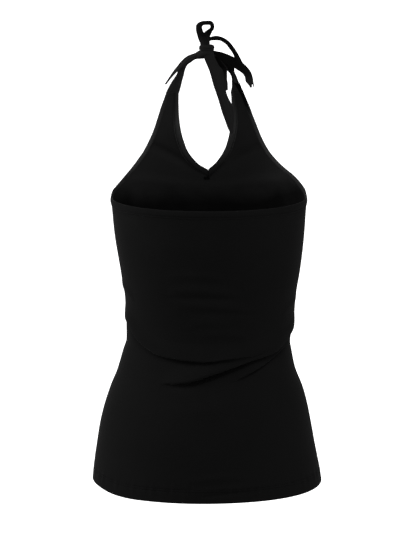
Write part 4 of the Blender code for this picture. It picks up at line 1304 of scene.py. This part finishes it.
def knitted(name, colours, wale_size, relief, fuzz=1.0):
    """Black jersey in two colours that mottle each other, knitted in wales of a size in mm.

    relief is the strength of its bump, and fuzz the share of the usual sheen.
    """
    made, tree, shader = new_material(name, ROUGHNESS, fuzz * SHEEN, SHEEN_ROUGHNESS)
    cloth = add_node(tree, "ShaderNodeUVMap", {}, uv_map="cloth")
    split = add_node(tree, "ShaderNodeSeparateXYZ", {0: cloth.outputs[0]})
    wale = maths(tree, "PINGPONG", maths(tree, "DIVIDE", split.outputs[0], wale_size * MM), 0.5)
    rib = maths(tree, "SINE", maths(tree, "MULTIPLY", wale, 2 * np.pi))
    course = maths(tree, "ADD", maths(tree, "DIVIDE", split.outputs[1], COURSE * MM), wale)
    chevron = maths(tree, "SINE", maths(tree, "MULTIPLY", course, 2 * np.pi))
    knit = maths(tree, "MULTIPLY_ADD", chevron, CHEVRON, rib)
    finish_material(tree, shader, colours, MOTTLE_SCALE, knit, relief, KNIT_DEPTH)
    return made


jersey = knitted("jersey_face", FACE, WALE, RELIEF)
pressed = knitted("jersey_pressed", PRESSED, WALE, RELIEF)
print("jersey: wales of", WALE, "mm and courses of", COURSE, "mm")

# %% [markdown]
# The jersey is dyed one black, but the lamps here leave parts of it too dark or too light, so light and shade
# are painted into its colour. The cloth's inside, the bindings, the ties' turned faces, the bow loop, two tails
# and the rolled edge have colours by height, read from the object's own coordinates, and a little uneven so
# that no level
# line shows: painted light up the straps and along the bindings, and painted shade low inside the front, under
# the knot, and on the loop and tails. On the inside the painted shade also sinks towards the side seams. They
# hold for the faces that look to the back; the others stay as they are dyed.

# %% Painted light and shade
SIDE_SHADE_FROM, SIDE_SHADE_MIDDLE = 95.0, 15.0  # mm: the painted shade sinks from this far off a middle, and where that middle is
UNEVENNESS = 0.12  # share of the whole height
# Name: wales in shares of the usual, relief, fuzz, side shade droop, and painted light and shade as colours by
# height in mm
PAINTED_SHADINGS = {
    # The cloth's inside: painted light up the straps, painted shade low in front and towards the side seams
    "jersey_reverse": (1.0, 0.2, 0.2, 0.5, (
        (-250, "#060606"), (-245, "#090909"), (-237, "#0e0e0e"), (-229, "#121212"), (-216, "#161616"),
        (-160, "#151515"), (-95, "#212121"), (-50, "#202020"), (-5, "#151515"),
    )),
    # Armhole bindings: painted light at mid height, painted shade down by the side seams
    "jersey_bound": (1.2, 0.35, 0.3, 0.0, (
        (-245, "#030303"), (-222, "#0f0f0f"), (-205, "#1c1c1c"), (-190, "#232323"), (-150, "#2b2b2b"),
        (-95, "#2b2b2b"), (-60, "#202020"),
    )),
    # Neck bindings: painted light, strongest up the straps
    "jersey_neck_bound": (1.2, 0.35, 0.3, 0.0, (
        (-206, "#101010"), (-187, "#141414"), (-150, "#242424"), (-117, "#303030"), (-95, "#2a2a2a"),
        (-60, "#202020"),
    )),
    # Right tie's turned face: painted shade up towards the knot, lighter where it meets the strap
    "jersey_turned": (1.0, 0.35, 0.3, 0.0, (
        (-66, "#242424"), (-50, "#202020"), (-36, "#121212"), (-24, "#0d0d0d"), (-10, "#0c0c0c"),
    )),
    # Short tail: painted shade at its top, in the gap under the knot
    "jersey_inner_fold": (1.0, 0.35, 0.3, 0.0, (
        (-34, "#161616"), (-26, "#0a0a0a"), (-18, "#030303"), (0, "#030303"),
    )),
    # Arched tail: painted shade, darkest up by the knot
    "jersey_arched": (1.0, 0.35, 0.4, 0.0, (
        (-38, "#131313"), (-28, "#080808"), (-14, "#040404"), (12, "#040404"),
    )),
    # Bow loop: painted shade, darkest at its top
    "jersey_looped": (1.0, 0.35, 0.4, 0.0, (
        (8, "#131313"), (18, "#0e0e0e"), (28, "#060606"), (46, "#040404"),
    )),
    # Rolled edge: painted shade, lighter only at its lower end
    "jersey_rolled": (1.0, 0.35, 0.1, 0.0, (
        (-98, "#1c1c1c"), (-86, "#0c0c0c"), (-76, "#040404"), (-40, "#030303"),
    )),
}


def paint_shading_by_height(made, stops, side_shade_droop):
    """Paints light and shade into a knitted material as colours by height, a little uneven, and bent down
    towards the sides by side_shade_droop.
    """
    tree = made.node_tree
    lowest, highest = stops[0][0], stops[-1][0]
    place = add_node(tree, "ShaderNodeTexCoord", {})
    split = add_node(tree, "ShaderNodeSeparateXYZ", {0: place.outputs["Object"]})
    off_middle = maths(tree, "ABSOLUTE", maths(tree, "SUBTRACT", split.outputs[0], SIDE_SHADE_MIDDLE * MM))
    aside = maths(tree, "MAXIMUM", maths(tree, "SUBTRACT", off_middle, SIDE_SHADE_FROM * MM), 0.0)
    level = maths(tree, "MULTIPLY_ADD", aside, -side_shade_droop, split.outputs[2])
    share = add_node(tree, "ShaderNodeMapRange", {0: level, 1: lowest * MM, 2: highest * MM})
    off_level = maths(tree, "SUBTRACT", mottling(tree, place, MOTTLE_SCALE), 0.5)
    uneven_share = maths(tree, "MULTIPLY_ADD", off_level, UNEVENNESS, share.outputs[0])
    ramp = add_node(tree, "ShaderNodeValToRGB", {0: uneven_share})
    for _ in stops[2:]:
        ramp.color_ramp.elements.new(0.5)
    for element, (height, colour) in zip(ramp.color_ramp.elements, stops):
        element.position = (height - lowest) / (highest - lowest)
        element.color = linear(colour)
    tree.links.new(ramp.outputs[0], tree.nodes["Principled BSDF"].inputs["Base Color"])
    return made


painted_shadings = {
    name: paint_shading_by_height(knitted(name, FACE, wales * WALE, relief, fuzz), stops, side_shade_droop)
    for name, (wales, relief, fuzz, side_shade_droop, stops) in PAINTED_SHADINGS.items()
}
print("greyed jersey:", ", ".join(painted_shadings))

# %% [markdown]
# Sewing thread is spun polyester: smoother than the jersey, with two plies twisted round each other, so it has
# a faint shine and slanting lines along each stitch.

# %% Thread
PLY = 0.7  # mm along the thread
THREAD_BLACK, THREAD_LIGHT = "#040404", "#0b0b0b"  # between the plies and on them
THREAD_ROUGHNESS = 0.5
THREAD_MOTTLE = 400.0  # patches of 2.5 mm, about one stitch
PLY_STRENGTH, PLY_DEPTH = 0.5, 0.05
thread, tree, shader = new_material("black_thread", THREAD_ROUGHNESS, sheen=0.0, sheen_roughness=0.5)
cloth = add_node(tree, "ShaderNodeUVMap", {}, uv_map="cloth")
split = add_node(tree, "ShaderNodeSeparateXYZ", {0: cloth.outputs[0]})
slant = maths(tree, "ADD", split.outputs[0], split.outputs[1])
ply = maths(tree, "SINE", maths(tree, "MULTIPLY", slant, 2 * np.pi / (PLY * MM)))
finish_material(tree, shader, (THREAD_BLACK, THREAD_LIGHT), THREAD_MOTTLE, ply, PLY_STRENGTH, PLY_DEPTH)
print("thread: a ply every", PLY, "mm")

# %% [markdown]
# ## Dressing the frame
#
# Each piece rides on the garment's one body and takes the place of its plain solid. The panels already have two
# faces, the cloth's outside and its inside. All sewing is thread, the bindings are bound jersey with painted
# light and shade, and the rest is pressed jersey, but for the pieces that the second table names, most of which
# get painted light and shade.

# %% Pieces in the frame
REPLACED = {
    "jersey_front": "front_panel", "jersey_back": "back_panel", "back_binding": "back_band",
    "neck_binding_left": "neck_band_left", "neck_binding_right": "neck_band_right",
    "armhole_binding_left": "arm_band_left", "armhole_binding_right": "arm_band_right",
    "tie_cloth_left": "tie_left", "tie_cloth_right": "tie_right", "bow_loop": "tie_loop",
    "long_tail": "tail_long", "short_tail": "tail_short", "arched_tail": "tail_arc", "left_tail": "tail_left",
    "knot_wrap": "knot", "knot_cross_wrap": "knot_turn",
}
# Pieces with painted light and shade by height, and a few of plain face jersey
OF_PAINTED_SHADING_OR_OTHER_JERSEY = {
    "neck_binding_left": "jersey_neck_bound", "neck_binding_right": "jersey_neck_bound",
    "back_binding": "jersey_face", "seam_allowance_left": "jersey_face", "seam_allowance_right": "jersey_face",
    "tie_cloth_left": "jersey_reverse", "tie_cloth_right": "jersey_turned", "bow_loop": "jersey_looped",
    "short_tail": "jersey_inner_fold", "arched_tail": "jersey_arched", "rolled_edge": "jersey_rolled",
}
# Light and shade are painted only on the faces that look to the back; their other faces are pressed jersey
TWO_FACED = ("jersey_bound", "jersey_neck_bound", "jersey_reverse", "jersey_turned")
plain_and_painted_materials = {**painted_shadings, "jersey_face": jersey, "jersey_pressed": pressed, "black_thread": thread}
pieces = [jersey_front, jersey_back, *bindings, *ties, loop, *tails, *rolled, *knots, hem_stitches, *allowances]
for piece in pieces:
    sewn = any(word in piece.name for word in ("stitches", "overlock", "tack"))
    # The panels' insides carry painted light and shade
    if piece in (jersey_front, jersey_back):
        piece.data.materials[0], piece.data.materials[1] = jersey, painted_shadings["jersey_reverse"]
    else:
        usual = "black_thread" if sewn else "jersey_bound" if "binding" in piece.name else "jersey_pressed"
        finish = OF_PAINTED_SHADING_OR_OTHER_JERSEY.get(piece.name, usual)
        two_faced = finish in TWO_FACED
        if two_faced:
            piece.data.materials.append(pressed)
        piece.data.materials.append(plain_and_painted_materials[finish])
        for polygon in piece.data.polygons:
            polygon.material_index = int(two_faced and polygon.normal.y > 0)
    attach(piece, "root")
    if piece.name in REPLACED:
        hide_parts(REPLACED[piece.name])
print("pieces:", len(pieces), "triangles:", sum(len(p.vertices) - 2 for o in pieces for p in o.data.polygons))

# %% [markdown]
# ## Stitches on the faces
#
# The names of the stitch pieces that lie on the cloth's faces are listed here.


on_front = ["hem_stitches"]
on_front += [f"{seam}_{name}" for seam in ("binding_stitches", "mitre_tack") for _, name in FACES]

# %% [markdown]
# ## Stage
#
# A white card beyond the garment is the plain, pale backdrop, and the floor lies far below, so that no shadow
# comes near.

# %% Stage
FLOOR_Z, FLOOR_SIZE = -5.0, 60.0
CARD_DISTANCE, CARD_SIZE = 12.0, (2.9, 3.6)  # from the camera, in metres
PAPER, WHITE = "#f2f2f2", "#ffffff"
PAPER_ROUGHNESS = 0.9
CARD_GLOW = 1.2


def paper(name, glow):
    """Matt white paper, uncoated, that may be lit from inside."""
    made = bpy.data.materials.new(name)
    made.use_nodes = True
    shader = made.node_tree.nodes["Principled BSDF"]
    shader.inputs["Base Color"].default_value = linear(PAPER)
    shader.inputs["Roughness"].default_value = PAPER_ROUGHNESS
    shader.inputs["Emission Color"].default_value = linear(WHITE)
    shader.inputs["Emission Strength"].default_value = glow
    return made


def plane(name, place, turn, size, material):
    """A part of the stage."""
    bpy.ops.mesh.primitive_plane_add(size=1, location=place, rotation=turn)
    made = bpy.context.object
    made.name = name
    made.scale = (*size, 1)
    made.data.materials.append(material)


# Where the camera will stand, because the card is square to its view
CAMERA_AIM = Vector((-3.7, -70.0, -328.36)) * MM
CAMERA_DISTANCE = 3.0
CAMERA_PITCH = np.radians(11.7)
CAMERA_TURN = (np.pi / 2 - CAMERA_PITCH, 0, np.pi)
towards_camera = Vector((0, np.cos(CAMERA_PITCH), np.sin(CAMERA_PITCH)))
card_place = CAMERA_AIM + (CAMERA_DISTANCE - CARD_DISTANCE) * towards_camera
plane("floor", (0, 0, FLOOR_Z), (0, 0, 0), (FLOOR_SIZE, FLOOR_SIZE), paper("floor_paper", 0.0))
plane("white_card", card_place, CAMERA_TURN, CARD_SIZE, paper("card_paper", CARD_GLOW))
print("stage: floor and white card")

# %% [markdown]
# ## Light
#
# Black cloth needs light from all sides, or its form is lost. Five large, soft lamps stand round the garment.
# The strongest, on its left, rounds the body; one behind it and one high up bring out the folds on its back;
# weaker ones at its right and in front keep the other faces from going flat. A bright surround adds an even
# light.

# %% Light
SURROUND = 0.35
world = bpy.data.worlds.new("studio")
bpy.context.scene.world = world
world.use_nodes = True
background = world.node_tree.nodes["Background"]
background.inputs["Color"].default_value = linear(WHITE)
background.inputs["Strength"].default_value = SURROUND

# Where each square soft lamp stands, its size in metres and its power in watts; all face the garment
LAMPS = (
    ("left", (2.6, 0.0, 0.5), 1.4, 105),
    ("behind", (0.3, 3.4, 0.3), 1.6, 50),
    ("high", (0.2, 2.2, 2.2), 1.6, 54),
    ("right", (-2.4, 0.5, 0.0), 1.2, 40),
    ("front", (0.4, -3.0, 0.8), 1.6, 40),
)
MIDDLE = Vector((0, -0.07, -0.33))  # of the garment
for name, place, size, power in LAMPS:
    data = bpy.data.lights.new(name, "AREA")
    data.size, data.energy = size, power
    lamp = bpy.data.objects.new(name, data)
    lamp.location = place
    lamp.rotation_euler = (MIDDLE - lamp.location).to_track_quat("-Z", "Y").to_euler()
    bpy.context.scene.collection.objects.link(lamp)
bpy.context.scene.view_settings.view_transform = "Standard"
print("lamps:", ", ".join(light.name for light in bpy.data.lights))

# %% [markdown]
# The camera stands 3 m behind the garment, a little above it, and looks down by 11.7 degrees.

# %% Camera
CAMERA_LENS, SENSOR = 134.23, 36.0
camera_data = bpy.data.cameras.new("camera")
camera_data.lens, camera_data.sensor_width = CAMERA_LENS, SENSOR
camera = bpy.data.objects.new("camera", camera_data)
camera.location = CAMERA_AIM + CAMERA_DISTANCE * towards_camera
camera.rotation_euler = CAMERA_TURN
bpy.context.scene.collection.objects.link(camera)
bpy.context.scene.camera = camera
print("camera:", [round(v, 3) for v in camera.location])
